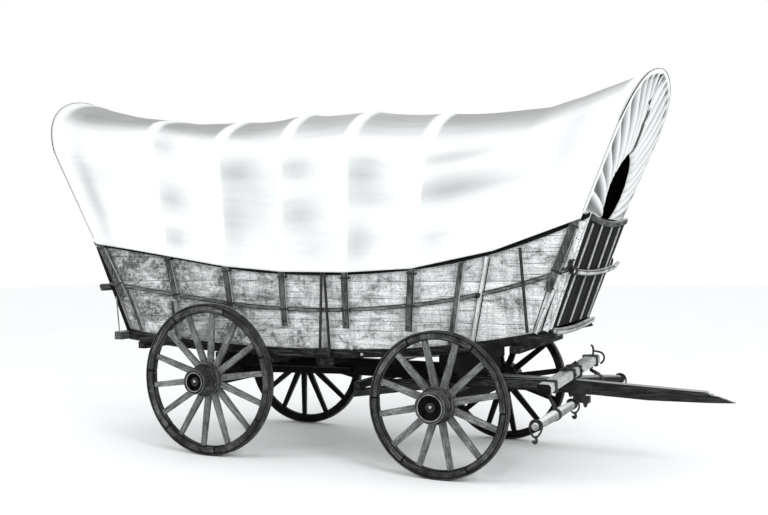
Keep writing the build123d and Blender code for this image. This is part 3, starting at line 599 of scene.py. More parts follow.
OPENING = (
    # half width on the right, half width on the left, height: lower corner up to the peak,
    # and on up the slit where the two halves of the end part
    (0.030, 0.200, -0.022), (0.100, 0.310, 0.035), (0.175, 0.355, 0.100), (0.250, 0.382, 0.195),
    (0.278, 0.362, 0.300), (0.200, 0.273, 0.430), (0.110, 0.165, 0.505), (0.016, 0.034, 0.550),
    (0.016, 0.032, 0.620), (0.030, 0.020, 0.740), (0.062, 0.014, 0.840),
    (0.122, 0.000, 0.950), (0.158, -0.022, 1.050), (0.164, -0.060, 1.120),
    (0.140, -0.108, 1.180),
)
# the rear one is even, without a slit
REAR_OPENING = (
    (0.160, 0.160, -0.022), (0.225, 0.225, 0.035), (0.262, 0.262, 0.105), (0.285, 0.285, 0.200),
    (0.275, 0.275, 0.310), (0.225, 0.225, 0.420), (0.130, 0.130, 0.505), (0.0, 0.0, 0.550),
)
SLIT_FOOT = 0.56                   # height at which the slit leaves the opening
SLIT_PULL = 0.35                   # share of the gathers that run to the slit
SLIT_CREASE = (0.552, 0.90)        # heights between which the slit's edges carry painted shade


def opening_points(table, count):
    """Edge of the drawn-in opening, lower right corner over the head to the lower left."""
    halves = []
    for side in (0, 1):
        half = np.array([(row[side], row[2]) for row in table])
        pull = np.where(half[1:, 1] > SLIT_FOOT, SLIT_PULL, 1.0)
        steps = np.r_[0, np.cumsum(np.hypot(*np.diff(half, axis=0).T) * pull)]
        even = np.linspace(0, steps[-1], count // 2 + 1)
        halves.append(np.stack([np.interp(even, steps, half[:, k]) for k in (0, 1)], 1))
    return np.r_[halves[0] * (-1, 1), halves[1][-2::-1]]


PLEAT_WIDTHS = (0.040, 0.056)      # least and most, as shares of the way round the end
PLEAT_DEPTH, LEFT_SHARE = 0.050, 0.72       # pleats are shallower on the left
BELLY = 0.020                      # how far a drawn-in end swells out
MOUTH_TUCK, MOUTH_TUCK_FROM = 0.022, 0.955  # the edge of the opening turns in
END_CORNER = 0.011                 # radius of the turn over the end bow


def drawn_in_end(row, facing):
    """Columns of points from the end hoop to the opening, with gathered pleats and the painted
    shade of each point.
    """
    edge = arch_points(row)
    first = int(np.argmax(edge[:, 1] >= END_HEM))
    rim = edge[first:ROWS - first]
    opening = opening_points(OPENING if facing > 0 else REAR_OPENING, len(rim))
    around = np.linspace(0, 1, len(rim))
    pick = random.Random(5 if facing > 0 else 9)
    knots = [0.0]
    while knots[-1] < 1:
        knots.append(knots[-1] + pick.uniform(*PLEAT_WIDTHS))
    knots = np.array(knots) / knots[-1]
    fold = np.interp(around, knots, np.arange(len(knots)))
    depth = np.array([pick.uniform(0.7, 1.0) for _ in knots])[fold.astype(int) % len(knots)]
    apart = np.abs(fold % 1.0 - 0.5)
    depth = depth * np.where(around < 0.5, 1.0, LEFT_SHARE)
    inside = inward(row, edge)[first:ROWS - first]
    outer = in_plane(row, rim)
    forward = in_plane(row, np.zeros((1, 2)), facing) - in_plane(row, np.zeros((1, 2)))
    columns, painted_shades, radial = [], [], []
    for turn in (25, 55, 90):
        angle = math.radians(turn)
        columns.append(outer + inside * END_CORNER * (1 - math.cos(angle))
                       + forward * (END_CORNER * (math.sin(angle) - 1) + 0.003))
        painted_shades.append(np.zeros(len(rim)))
        radial.append(END_CORNER * turn / 90)
    start = columns[-1]
    target = in_plane(row, opening, 0.003 * facing)
    reach = np.linalg.norm(target - start, axis=1)
    crease = 0.9 * (opening[:, 1] > SLIT_CREASE[0]) * (opening[:, 1] < SLIT_CREASE[1])
    shares = np.r_[np.linspace(0.015, 0.14, 6), np.linspace(0.18, 0.94, 17),
                   (0.97, 0.985, 1.0)]
    for share in shares:
        swell = smoothstep(share * reach, 0.024, 0.09) * (1 - share) ** 0.5
        wedge = 0.40 * (1 - share) + 0.13
        valley = depth * (1 - smoothstep(apart, 0.35 * wedge, wedge))
        point = start + (target - start) * share
        belly = BELLY * np.sin(np.pi * share) * smoothstep(np.abs(around - 0.5), 0.02, 0.2)
        point = point + forward * (belly - PLEAT_DEPTH * valley * swell)[:, None]
        point = point - forward * (MOUTH_TUCK * max(0.0, share - MOUTH_TUCK_FROM) / 0.045)
        # painted shade in the pleat valleys, a light grey over the end and dark along the slit
        folds = valley * (1.30 - 0.75 * share) * smoothstep(share * reach, 0.020, 0.036)
        wash = 0.10 * smoothstep(share * reach, 0.03, 0.06) + crease * (share > 0.90)
        columns.append(point)
        painted_shades.append(np.clip(folds + wash, 0, 1))
        radial.append(END_CORNER + share * float(reach.mean()))
    return first, columns, painted_shades, radial


# length round the arch and height in millimetres of each run of creases
CREASES = ((0.62, 2.6), (0.33, 1.6), (0.19, 1.0), (0.11, 0.6))
# sag between two bows, what it gains in a long bay, and how long that is
SAG, LONG_BAY_SAG, LONG_BAY = 0.022, 0.012, 0.9
BOW_EDGE, BOW_EDGE_RUN = 0.007, 0.014       # step down beside a bow, and how fast it goes
PUCKER, PUCKER_SPACING = 0.003, 0.17        # gathers along the hem
GATHERED_ENDS, SAG_ALLOWANCE, STRETCH = 1.5, 1.02, 0.98     # for the flat size of the cloth


def ripples(along, around):
    """Slack in the cloth: long soft creases that run from bow to bow."""
    pick = random.Random(11)
    total = np.zeros_like(along)
    for wave, size in CREASES:
        turn = 2 * math.pi * along / pick.uniform(0.7, 1.3) + pick.random() * 6
        bend = 0.25 * wave * np.sin(turn)
        total += size * np.sin(2 * math.pi * (around + bend) / wave + pick.random() * 6)
    return total / 1000


def canvas_cover():
    """One sheet from the rear opening over seven bows to the front opening."""
    sections = [BOWS[0], REAR_SAG, *BOWS[1:-1], FRONT_SAG, BOWS[-1]]
    outlines = [arch_points(row) for row in sections]
    solid = [in_plane(row, line) for row, line in zip(sections, outlines)]
    inner = [inward(row, line) for row, line in zip(sections, outlines)]
    is_bow = [row in BOWS for row in sections]
    arc = np.r_[0, np.cumsum(np.hypot(*np.diff(outlines[4], axis=0).T))]
    up = np.minimum(arc, arc[-1] - arc)
    around = np.linspace(0, 1, ROWS)
    free = smoothstep(np.minimum(around, 1 - around), 0.006, 0.08)
    columns, painted_shades, lengths = [], [], []
    far = 0.0
    bow_places = [i for i, flag in enumerate(is_bow) if flag]
    for bay, (a, b) in enumerate(zip(bow_places[:-1], bow_places[1:])):
        parts = range(a, b)
        widths = [float(np.linalg.norm(solid[i + 1] - solid[i], axis=1).mean()) for i in parts]
        length = sum(widths)
        hold_a = END_BOW if a == bow_places[0] else BOW_HALF
        hold_b = END_BOW if b == bow_places[-1] else BOW_HALF
        free_length = length - hold_a - hold_b
        for d in bay_steps(length, hold_a, hold_b):
            i, left_over = a, d
            while left_over > widths[i - a] and i < b - 1:
                left_over -= widths[i - a]
                i += 1
            f = left_over / widths[i - a]
            point = solid[i] * (1 - f) + solid[i + 1] * f
            pull = inner[i] * (1 - f) + inner[i + 1] * f
            pull /= np.linalg.norm(pull, axis=1)[:, None]
            share = min(max((d - hold_a) / free_length, 0), 1) ** 0.72
            slack = (SAG + LONG_BAY_SAG * (length > LONG_BAY)) * (1 - (2 * share - 1) ** 2)
            beside = max(0.0, min(d - hold_a, length - hold_b - d))
            edge = BOW_EDGE * (1 - math.exp(-(beside / BOW_EDGE_RUN) ** 2))
            slack_here = (slack * (0.45 + 0.55 * np.sin(np.pi * around) ** 0.5) + edge) * free
            lumps = ripples(np.full(ROWS, far + d), arc) * free * min(1.0, beside / 0.10)
            pucker = PUCKER * np.sin(2 * math.pi * (far + d) / PUCKER_SPACING + 3 * around) \
                * np.exp(-np.minimum(around, 1 - around) / 0.02) * min(1.0, beside / 0.03)
            columns.append(point + pull * (slack_here + lumps - pucker + CLOTH_IN)[:, None])
            # painted shade along the upper side of the cover, less of it at the very crown
            facing_up = -pull[:, 2]
            crown_light = 1 - 0.72 * smoothstep(facing_up, 0.978, 0.999)
            ridge = smoothstep(facing_up, 0.50, 0.94) * crown_light
            ridge = ridge * RIDGE_SHADE[bay] * smoothstep(beside, 0.004, 0.05)
            painted_shades.append(np.clip(shade_washes(bay, d, up, hold_a) + ridge, 0, 1))
            lengths.append(far + d)
        far += length
    columns.append(solid[-1] + inner[-1] * CLOTH_IN)
    painted_shades.append(np.zeros(ROWS))
    lengths.append(far)

    points, uv, grime, index = [], [], [], []

    def add_column(column, length, dirt_and_shade, first=0):
        ids = np.full(ROWS, -1)
        ids[first:first + len(column)] = np.arange(len(points), len(points) + len(column))
        points.extend(column.tolist())
        uv.extend([(length, v) for v in arc[first:first + len(column)]])
        grime.extend(np.asarray(dirt_and_shade, float).tolist())
        index.append(ids)

    first, ends, dirt_and_shade, radial = drawn_in_end(BOWS[0], -1)
    for column, g, r in list(zip(ends, dirt_and_shade, radial))[::-1]:
        add_column(column, -r, g, first)
    for column, g, l in zip(columns, painted_shades, lengths):
        add_column(column, l, g)
    first, ends, dirt_and_shade, radial = drawn_in_end(BOWS[-1], 1)
    for column, g, r in zip(ends, dirt_and_shade, radial):
        add_column(column, far + r, g, first)
    faces = []
    for a, b in zip(index[:-1], index[1:]):
        for k in range(ROWS - 1):
            corner = (a[k], b[k], b[k + 1], a[k + 1])
            if min(corner) >= 0:
                faces.append([int(c) for c in corner])
    mesh = bpy.data.meshes.new("canvas_cover")
    mesh.from_pydata(points, [], faces)
    layer = mesh.uv_layers.new(name="cloth")
    for loop in mesh.loops:
        layer.data[loop.index].uv = uv[loop.vertex_index]
    attribute = mesh.attributes.new("grime", "FLOAT", "POINT")
    attribute.data.foreach_set("value", np.array(grime, np.float32))
    cover = bpy.data.objects.new("canvas_cover", mesh)
    bpy.context.scene.collection.objects.link(cover)
    mesh.materials.append(FINISH["canvas"])
    # the inner face of the cloth takes the painted shade of the inside
    mesh.materials.append(SHADED_LINING)
    modified(cover, "SOLIDIFY", thickness=0.003, offset=-1.0, material_offset=1)
    bpy.ops.object.shade_smooth()
    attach(cover, "wagon")
    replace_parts(cover, "cover_sheet", "cover_front", "cover_rear")
    length = round((far + GATHERED_ENDS) * SAG_ALLOWANCE, 2)


canvas_cover()

# ---- body ---------------------------------------------------------------------------------------
# where the parts of a node change finish, along the wagon and by height
REAR_POSTS_END = -2.08
LIGHT_STRIPS = ((1.30, 1.45), (1.88, 1.96))
CORNER_POSTS_START = 1.965
TOP_RAIL_FOOT, TOP_CROSSPIECE_FOOT = 1.6, 1.85
RIGHT_END = -0.690                 # the near end faces of the front crosspieces beyond it carry painted shade

for name, _ in SIDES:
    worn(name + "_boards", 0.002, rim=None)
worn("floor_boards", 0.002)
worn("sills", 0.007, finish=SILL_WOOD)
# the top rail is near black: painted shade under the hem of the cover
rails = worn("side_rails", 0.006, finish=MUD_AND_SHADE)
repainted(rails, RAIL_FACE, lambda p: p[2] < TOP_RAIL_FOOT)
worn("cross_sills", 0.006, "y", SILL_WOOD)
worn("front_boards", 0.003, "z", SHADED_FRONT_PLANK)
uprights = worn("side_standards", 0.006, "z")
repainted(uprights, FINISH["gear_wood"], lambda p: p[0] < REAR_POSTS_END)
repainted(uprights, STRIP_IRON, lambda p: any(a < p[0] < b for a, b in LIGHT_STRIPS))
repainted(uprights, FINISH["board_wood"], lambda p: p[0] > CORNER_POSTS_START)
front_faces_painted_lit(uprights)
crosspieces = worn("end_crosspieces", 0.010, "y", segments=3, rim=None)
repainted(crosspieces, PALE_RAIL, lambda p: p[0] > 0 and p[2] < TOP_CROSSPIECE_FOOT)
# painted shade on the near end faces of the front crosspieces
painted(crosspieces, MUD_AND_SHADE, lambda face: face.center.x > 0 and face.center.y < RIGHT_END)
for node in NODES:
    if node.endswith("_bow"):
        front_faces_painted_lit(worn(node, 0.006, "z", segments=1))
worn("side_irons", 0.002, rim=None)
worn("tailgate_boards", 0.003, "z")
worn("tailgate_battens", 0.006, "y")
for node in ("tailgate_straps", "tailgate_hinge_pins"):
    worn(node, 0.0015, rim=None)

# ---- running gear -------------------------------------------------------------------------------
for node, grain in (("reach", "x"), ("rear_axle_bed", "y"), ("rear_bolster", "y"),
                    ("rear_hounds", "x"), ("front_bolster", "y"), ("front_axle_bed", "y"),
                    ("sand_board", "y"), ("tongue", "x")):
    worn(node, 0.007, grain, TONGUE_WOOD if node == "tongue" else None, rim=None)
worn("front_hounds", 0.007, "x", SWAY_WOOD)
worn("sway_bar", 0.007, "y", SWAY_WOOD)
for node in ("rear_axle_arms", "front_axle_arms", "kingpin", "tongue_irons", "doubletree_irons",
             "right_singletree_irons", "left_singletree_irons"):
    worn(node, 0.0015, rim=None)
bar_piece = worn("doubletree_bar", 0.004, "y", rim=None)
bar_end = min(v.co.y for v in bar_piece.data.vertices) + 0.012
# painted shade on the end face of the bar
painted(bar_piece, MUD_AND_SHADE, lambda face: face.center.y < bar_end)
# painted highlight on the top faces of the bar
painted(bar_piece, PAINTED_LIT_FACE, lambda face: face.center.z > 0.70 and face.center.y > bar_end)
worn("right_singletree_bar", 0.004, "y", PALE_TREE, rim=None)
worn("left_singletree_bar", 0.004, "y", TONGUE_WOOD, rim=None)
for name, _ in SIDES:
    for end, wheel in WHEELS.items():
        part = f"{name}_{end}_"
        worn(part + "tyre", 0.004, "rim", wheel=wheel)
        mud_and_shade_inside(worn(part + "felloes", 0.007, "rim", wheel=wheel), name)
        mud_and_shade_inside(worn(part + "spokes", 0.006, "spoke", SPOKE_PAINT, wheel), name)
        mud_and_shade_inside(worn(part + "hub", 0.004, "rim", wheel=wheel, rim=None), name, wheel)


# ---- small ironwork and repairs -----------------------------------------------------------------
def fresh(adding, **settings):
    """Adds a primitive with nothing else selected, and hands it over."""
    bpy.ops.object.select_all(action="DESELECT")
    adding(**settings)
    return bpy.context.object


def picked(piece, test):
    """Opens edit mode with only the faces selected whose centre and normal pass the test."""
    bpy.ops.object.mode_set(mode="EDIT")
    bpy.ops.mesh.select_mode(type="FACE")
    bpy.ops.mesh.select_all(action="DESELECT")
    bpy.ops.object.mode_set(mode="OBJECT")
    for face in piece.data.polygons:
        face.select = bool(test(face.center, face.normal))
    bpy.ops.object.mode_set(mode="EDIT")


def fitted(pieces, name, body, slot, finish=None, grain="x"):
    """Joins pieces into one, gives it its finish and lets it ride on a body."""
    bpy.ops.object.select_all(action="DESELECT")
    for piece in pieces:
        piece.select_set(True)
    bpy.context.view_layer.objects.active = pieces[0]
    if len(pieces) > 1:
        bpy.ops.object.join()
    piece = bpy.context.view_layer.objects.active
    piece.name = piece.data.name = name
    smoothed(piece, 40)
    piece.data.materials.clear()
    piece.data.materials.append(finish or FINISH[slot])
    set_grain(piece, grain, None)
    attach(piece, body)
    return piece


def bolt_head(radius, height):
    """Forged bolt head: a round washer with a small raised dome, looking up Z."""
    bolt = fresh(bpy.ops.mesh.primitive_cylinder_add, vertices=10, radius=radius, depth=height,
                 location=(0, 0, height / 2))
    picked(bolt, lambda c, n: n.z > 0.9)
    bpy.ops.mesh.inset(thickness=radius * 0.30)
    bpy.ops.mesh.extrude_region_move(TRANSFORM_OT_translate={"value": (0, 0, height * 0.9)})
    bpy.ops.transform.resize(value=(0.62, 0.62, 1))
    bpy.ops.object.mode_set(mode="OBJECT")
    return bolt


def bolts(name, places, body, radius, height, finish=None):
    """One bolt, copied to each point with its head along the direction given."""
    master = bolt_head(radius, height)
    copies = []
    for point, out in places:
        twin = master.copy()
        twin.data = master.data.copy()
        bpy.context.scene.collection.objects.link(twin)
        turn = Vector(out).to_track_quat("Z", "Y").to_matrix().to_4x4()
        twin.data.transform(Matrix.Translation(point) @ turn)
        copies.append(twin)
    bpy.data.objects.remove(master)
    return fitted(copies, name, body, "wrought_iron", finish)


def bar(start, end, wide, thick, out, taper, edge=0.002):
    """A flat bar between two points that lies on the face looking out, with eased ends."""
    start, end, out = Vector(start), Vector(end), Vector(out)
    length = (end - start).length
    piece = fresh(bpy.ops.mesh.primitive_cube_add, size=1)
    bpy.ops.object.mode_set(mode="EDIT")
    bpy.ops.mesh.select_all(action="SELECT")
    bpy.ops.transform.resize(value=(length * 0.88, wide, thick))
    bpy.ops.object.mode_set(mode="OBJECT")
    for way in (-1, 1):
        picked(piece, lambda c, n: n.x * way > 0.9)
        bpy.ops.mesh.extrude_region_move(
            TRANSFORM_OT_translate={"value": (way * length * 0.06, 0, 0)})
        bpy.ops.transform.resize(value=(1, taper, 0.5 + 0.5 * taper))
        bpy.ops.object.mode_set(mode="OBJECT")
    bpy.ops.object.mode_set(mode="EDIT")
    bpy.ops.mesh.select_all(action="SELECT")
    bpy.ops.mesh.bevel(offset=edge, segments=1, affect="EDGES")
    bpy.ops.object.mode_set(mode="OBJECT")
    along = (end - start).normalized()
    across = out.cross(along).normalized()
    face = along.cross(across)
    place = Matrix((along, across, face)).transposed().to_4x4()
    piece.data.transform(Matrix.Translation((start + end) / 2 + face * thick / 2) @ place)
    return piece


def wire(points, radius, closed=False):
    """A bent rod: a smooth path led by the points, swept round and made a mesh."""
    path = fresh(bpy.ops.curve.primitive_nurbs_path_add)
    path.data.splines.clear()
    spline = path.data.splines.new("NURBS")
    spline.points.add(len(points) - 1)
    for knot, point in zip(spline.points, points):
        knot.co = (*point, 1)
    spline.use_cyclic_u = closed
    spline.order_u = 3
    spline.use_endpoint_u = not closed
    spline.resolution_u = 5
    path.data.bevel_depth = radius
    path.data.bevel_resolution = 2
    path.data.use_fill_caps = True
    bpy.ops.object.convert(target="MESH")
    return bpy.context.object


def hoop(centre, radius, wide, thick, taper=0.0):
    """An iron band round an axle line: an open ring, drawn out, thickened and eased."""
    band = fresh(bpy.ops.mesh.primitive_circle_add, vertices=40, radius=radius,
                 rotation=(math.pi / 2, 0, 0))
    bpy.ops.object.transform_apply(location=False, rotation=True, scale=False)
    bpy.ops.object.mode_set(mode="EDIT")
    bpy.ops.mesh.select_mode(type="EDGE")
    bpy.ops.mesh.select_all(action="SELECT")
    bpy.ops.mesh.extrude_region_move(TRANSFORM_OT_translate={"value": (0, wide, 0)})
    grown = 1 + taper * wide / radius
    bpy.ops.transform.resize(value=(grown, 1, grown))
    bpy.ops.mesh.select_all(action="SELECT")
    bpy.ops.mesh.normals_make_consistent(inside=False)
    bpy.ops.object.mode_set(mode="OBJECT")
    modified(band, "SOLIDIFY", thickness=thick, offset=0.0)
    modified(band, "BEVEL", width=thick * 0.3, segments=1)
    band.data.transform(Matrix.Translation(centre))
    return band


def side_place(side, station, z, out):
    """Point on a side of the box and the way it looks out; side is -1 right, +1 left."""
    point = (station - MIDDLE, side * side_y(z, out), z)
    return point, (0, side * math.cos(FLARE), -math.sin(FLARE))


def side_bar(side, foot, head, off, wide, thick, taper, edge):
    """A flat bar laid on a side of the box, between two points in station and height."""
    start, out = side_place(side, *foot, off)
    end, _ = side_place(side, *head, off)
    return bar(start, end, wide, thick, out, taper, edge)


# hubs: iron bands, the lip round the hollow, axle nut and pin
HUB_BANDS = dict(
    # distance out from the middle of the rim, radius, width, growth towards the rim
    rear=((0.182, 0.101, 0.016, 0.15), (0.040, 0.139, 0.014, 0.45),
          (-0.062, 0.138, 0.014, 0.0)),
    front=((0.147, 0.117, 0.016, 0.15), (0.040, 0.139, 0.014, 0.20),
           (-0.062, 0.138, 0.014, 0.0)),
)
for name, side in SIDES:
    for end, wheel in WHEELS.items():
        part, body = f"{name}_{end}_", f"{name}_{end}_wheel"
        x, z = wheel["x"], wheel["radius"]
        bands = []
        for out, radius, wide, growth in HUB_BANDS[end]:
            ring = hoop((0, out, 0), radius, wide, 0.008, growth)
            if side < 0:
                ring.data.transform(Matrix.Diagonal((1, -1, 1, 1)))
                ring.data.flip_normals()
            ring.data.transform(Matrix.Translation((x, side * TRACK / 2, z)))
            bands.append(ring)
        fitted(bands, part + "hub_bands", body, "tyre_iron", HUB_BAND)
        face_y = side * (TRACK / 2 + wheel["hub_end"])
        mouth = hoop((x, face_y - 0.0025 - side * 0.001, z), wheel["hollow"] + 0.009, 0.005, 0.009)
        fitted([mouth], part + "hub_lip", body, "tyre_iron", HUB_LIP)
        arm_end = Vector((x, face_y - side * 0.014, z))
        pin = arm_end + Vector((0.004, side * 0.008, 0.003))
        carrier = "front_gear" if end == "front" else "wagon"
        bolts(part + "axle_nut", [(arm_end, (0, side, 0))], carrier, 0.024, 0.006)
        bolts(part + "linchpin", [(pin, (0, side, 0))], carrier, 0.011, 0.007, BRIGHT_IRON)

# sides: nails in the iron strips, bolts through the bow legs and uprights, lashings
SIDE_BOLTS = (
    # station, height, off the boards
    (2.495, 1.595, 0.011), (2.470, 1.479, 0.011), (2.442, 1.351, 0.011), (2.411, 1.215, 0.011),
    (2.384, 1.090, 0.011), (2.954, 1.308, 0.008), (3.034, 1.520, 0.008), (2.900, 1.168, 0.008),
    (-1.085, 1.115, 0.022), (-1.130, 1.250, 0.022), (-0.930, 1.110, 0.022),
    (-0.985, 1.280, 0.022), (-0.479, 1.010, 0.022), (-0.495, 1.270, 0.022),
    (2.205, 1.050, 0.022), (2.243, 1.250, 0.022), (2.285, 1.500, 0.022),
    (2.975, 1.190, 0.022), (3.110, 1.560, 0.022), (3.215, 1.830, 0.022),
)
SILL_BOLTS = ((-0.90, 1.005), (-0.47, 0.945), (0.10, 0.912), (0.52, 0.905), (1.402, 0.912),
              (1.75, 0.932), (2.20, 0.985), (2.72, 1.065))
BRIGHT_STUDS = ((1.402, 0.905, 0.015), (0.53, 1.012, 0.0), (1.31, 0.952, 0.015),
                (0.03, 1.06, 0.0))
LEG_DROPS = (0.560, 0.375, 0.335, 0.445, 0.445, 0.485, 0.575)      # bolt down each bow's leg
LEG_FACE = 0.0485
SILL_FACE = 0.014
for name, side in SIDES:
    heads = [side_place(side, *row) for row in SIDE_BOLTS]
    heads += [side_place(side, station, z, SILL_FACE) for station, z in SILL_BOLTS]
    for (station, z, lean, *_), drop in zip(BOWS, LEG_DROPS):
        turn = math.radians(lean)
        heads.append(side_place(side, station + math.sin(turn) * drop,
                                z - math.cos(turn) * drop, LEG_FACE))
    bolts(f"{name}_side_bolts", heads, "wagon", 0.009, 0.006)
    bolts(f"{name}_bright_studs", [side_place(side, *row) for row in BRIGHT_STUDS], "wagon",
          0.013, 0.008, BRIGHT_IRON)

LASHINGS = (
    # station, height, half along, half up, out from the boards
    (2.440, 1.404, 0.024, 0.020, 0.034), (3.169, 1.640, 0.030, 0.034, 0.052),
)
LASHING_RADIUS = 0.0055
for name, side in SIDES:
    turns = []
    for station, z, half_x, half_z, out in LASHINGS:
        bends = ((-0.1, -1, 0.002), (-0.1, -1, out), (0.1, 0, out + 0.010), (0.1, 1, out),
                 (0.1, 1, 0.002))
        for k in range(4):
            slip = (k - 1.5) * 0.009
            turns.append(wire([side_place(side, station + dx * half_x + slip + dz * 0.006,
                                          z + dz * half_z, face)[0]
                               for dx, dz, face in bends], LASHING_RADIUS))
    fitted(turns, f"{name}_rail_lashings", "wagon", "wrought_iron")

STRIP_LINES = (((2.372, 1.040), (2.520, 1.700)), ((2.888, 1.135), (3.050, 1.560)))
STRIP_COATS = (
    # word, finish, then each strip's width and distance off the boards
    # a dark strip under each light one, which paints its shadow and outline
    ("backing", MUD_AND_SHADE, ((0.046, 0.0015), (0.066, 0.0015))),
    ("strips", STRIP_IRON, ((0.032, 0.0082), (0.050, 0.0050))),
)
for name, side in SIDES:
    for word, finish, coats in STRIP_COATS:
        laid = [side_bar(side, foot, head, off, wide, 0.003, 0.9, 0.0008)
                for (foot, head), (wide, off) in zip(STRIP_LINES, coats)]
        fitted(laid, f"{name}_side_{word}", "wagon", "wrought_iron", finish, "z")

# board over the front gear, seen through the wheel
boards = [bar(at(1.700, side * 0.545, 0.925), at(2.120, side * 0.545, 0.958), 0.090, 0.024,
              (0, side, 0), 0.9, 0.004) for _, side in SIDES]
fitted(boards, "gear_cover_boards", "wagon", "board_wood")

# rough wooden clamp below the middle rods, and the loose rod at the rear corner
CLAMP = (
    # foot and head in station and height, off the boards
    ((0.985, 0.845), (1.150, 0.830), 0.020), ((0.970, 0.905), (1.125, 0.920), 0.030),
)
for name, side in SIDES:
    clamp = [side_bar(side, *row, 0.085, 0.045, 0.62, 0.010) for row in CLAMP]
    fitted(clamp, f"{name}_rod_clamp", "wagon", "frame_wood", SILL_WOOD)
    head = Vector(side_place(side, -1.200, 1.438, 0.004)[0])
    foot = at(-1.113, side * 0.700, 1.036)
    rod = wire([head, *(head.lerp(foot, share) for share in (0.04, 0.5, 0.96)), foot], 0.0068)
    fitted([rod], f"{name}_rear_corner_rod", "wagon", "wrought_iron", HUB_LIP)

# ---- front panel: battens over the seams, broken pole ends --------------------------------------
RAKE = math.atan2(0.324, 0.867)
PANEL_OUT = Vector((math.cos(RAKE), 0, -math.sin(RAKE)))


def panel_place(y, up, out=0.0):
    """Point on the front panel by its distance up the rake."""
    return at(3.000 + math.sin(RAKE) * up, y, 1.155 + math.cos(RAKE) * up) + PANEL_OUT * out


BATTENS = (
    # across at the foot, across at the head
    (-0.500, -0.530), (-0.110, -0.205), (0.235, 0.170), (0.500, 0.480),
)
PANEL_HEIGHT = 0.86
battens = []
for foot, head in BATTENS:
    for low, high in ((0.022, 0.440), (0.472, 0.842)):
        a, b = (foot + (head - foot) * up / PANEL_HEIGHT for up in (low, high))
        battens.append(bar(panel_place(a, low), panel_place(b, high), 0.030, 0.011, PANEL_OUT,
                           0.9, 0.003))
fitted(battens, "front_battens", "wagon", "tree_wood", LIT_BATTEN_WOOD, "z")
BROKEN_TIPS = (
    # across at both ends, up at both ends, width, out from the panel
    (0.735, 0.930, 0.478, 0.520, 0.030, 0.006), (0.735, 0.880, 0.492, 0.528, 0.016, 0.014),
    (0.735, 0.850, 0.466, 0.480, 0.014, 0.010), (0.590, 0.735, -0.010, -0.016, 0.034, 0.006),
    (0.590, 0.690, 0.004, 0.010, 0.018, 0.012),
)
tips = [bar(panel_place(y0, up0, out), panel_place(y1, up1, out), wide, 0.024, PANEL_OUT,
            0.25, 0.003) for y0, y1, up0, up1, wide, out in BROKEN_TIPS]
fitted(tips, "broken_crosspiece_ends", "wagon", "tree_wood", PALE_RAIL, "y")
LASHING_BENDS = (
    # along the crosspiece, up and out from the panel
    (0.0, 0.452, 0.004), (0.004, 0.452, 0.040), (0.006, 0.478, 0.048), (0.008, 0.505, 0.040),
    (0.010, 0.505, 0.004),
)
turns = [wire([panel_place(-0.700 + 0.010 * k + slip, up, out) for slip, up, out in LASHING_BENDS],
              LASHING_RADIUS) for k in range(5)]
fitted(turns, "crosspiece_lashing", "wagon", "wrought_iron")

# ---- tongue: side plate, bolts and splinters ----------------------------------------------------
plate = bar(at(2.995, -0.046, 0.637), at(3.170, -0.046, 0.631), 0.080, 0.005, (0, -1, 0), 0.96)
fitted([plate], "tongue_side_plate", "front_gear", "wrought_iron")
bolts("tongue_bolts", [(at(station, y, z), (0, -1, 0)) for station, y, z in (
    (3.061, -0.051, 0.655), (3.140, -0.051, 0.615), (2.700, -0.046, 0.655))],
      "front_gear", 0.012, 0.009)
SPLINTERS = (
    # across, height and station at the root and at the tip, width
    (-0.034, 0.618, 0.606, 4.020, 4.175, 0.016), (-0.014, 0.612, 0.600, 4.020, 4.140, 0.018),
    (0.012, 0.640, 0.632, 3.990, 4.075, 0.022), (0.032, 0.625, 0.622, 3.990, 4.058, 0.018),
    (0.022, 0.600, 0.594, 3.990, 4.085, 0.016),
)
splinters = [bar(at(x0, y, z0), at(x1, y, z1), wide, 0.010, (0, 0, 1), 0.08, 0.001)
             for y, z0, z1, x0, x1, wide in SPLINTERS]
fitted(splinters, "tongue_splinters", "front_gear", "gear_wood", TONGUE_WOOD)

# ---- doubletree and single trees ----------------------------------------------------------------
def tree_frame(station, y, z, turn, tilt):
    """Frame of a tree, whose bar runs along its local y."""
    return Matrix.Translation(at(station, y, z)) @ Matrix.Rotation(math.radians(turn), 4, "Z") \
        @ Matrix.Rotation(math.radians(tilt), 4, "X")


def on_tree(tree, *points):
    return [tree @ Vector(point) for point in points]


EVENER = tree_frame(2.985, 0.0, 0.754, -5.0, 5.0)
EVENER_TURN = EVENER.to_3x3()
CLIPS_AT = (-0.075, 0.085)
irons = []
for y in CLIPS_AT:
    for start, end, out in (((-0.057, y, 0.040), (0.064, y, 0.040), (0, 0, 1)),
                            ((0.057, y, 0.044), (0.057, y, -0.048), (1, 0, 0)),
                            ((-0.057, y, 0.044), (-0.057, y, -0.048), (-1, 0, 0)),
                            ((-0.057, y, -0.040), (0.064, y, -0.040), (0, 0, -1))):
        irons.append(bar(*on_tree(EVENER, start, end), 0.046, 0.007, EVENER_TURN @ Vector(out),
                         0.96))
upward, forward = EVENER_TURN @ Vector((0, 0, 1)), EVENER_TURN @ Vector((1, 0, 0))
irons.append(bar(*on_tree(EVENER, (0.0, -0.150, 0.047), (0.0, 0.160, 0.047)), 0.060, 0.007,
                 upward, 0.7))
irons.append(wire(on_tree(EVENER, (0.030, 0.500, 0.035), (0.036, 0.505, 0.100),
                          (0.030, 0.500, 0.135), (0.022, 0.490, 0.138)), 0.0090))
irons.append(wire(on_tree(EVENER, (0.030, 0.500, 0.090), (0.060, 0.520, 0.082),
                          (0.095, 0.545, 0.070), (0.112, 0.560, 0.034), (0.104, 0.560, -0.010),
                          (0.076, 0.552, -0.030)), 0.0085))
fitted(irons, "doubletree_clips", "doubletree", "wrought_iron")
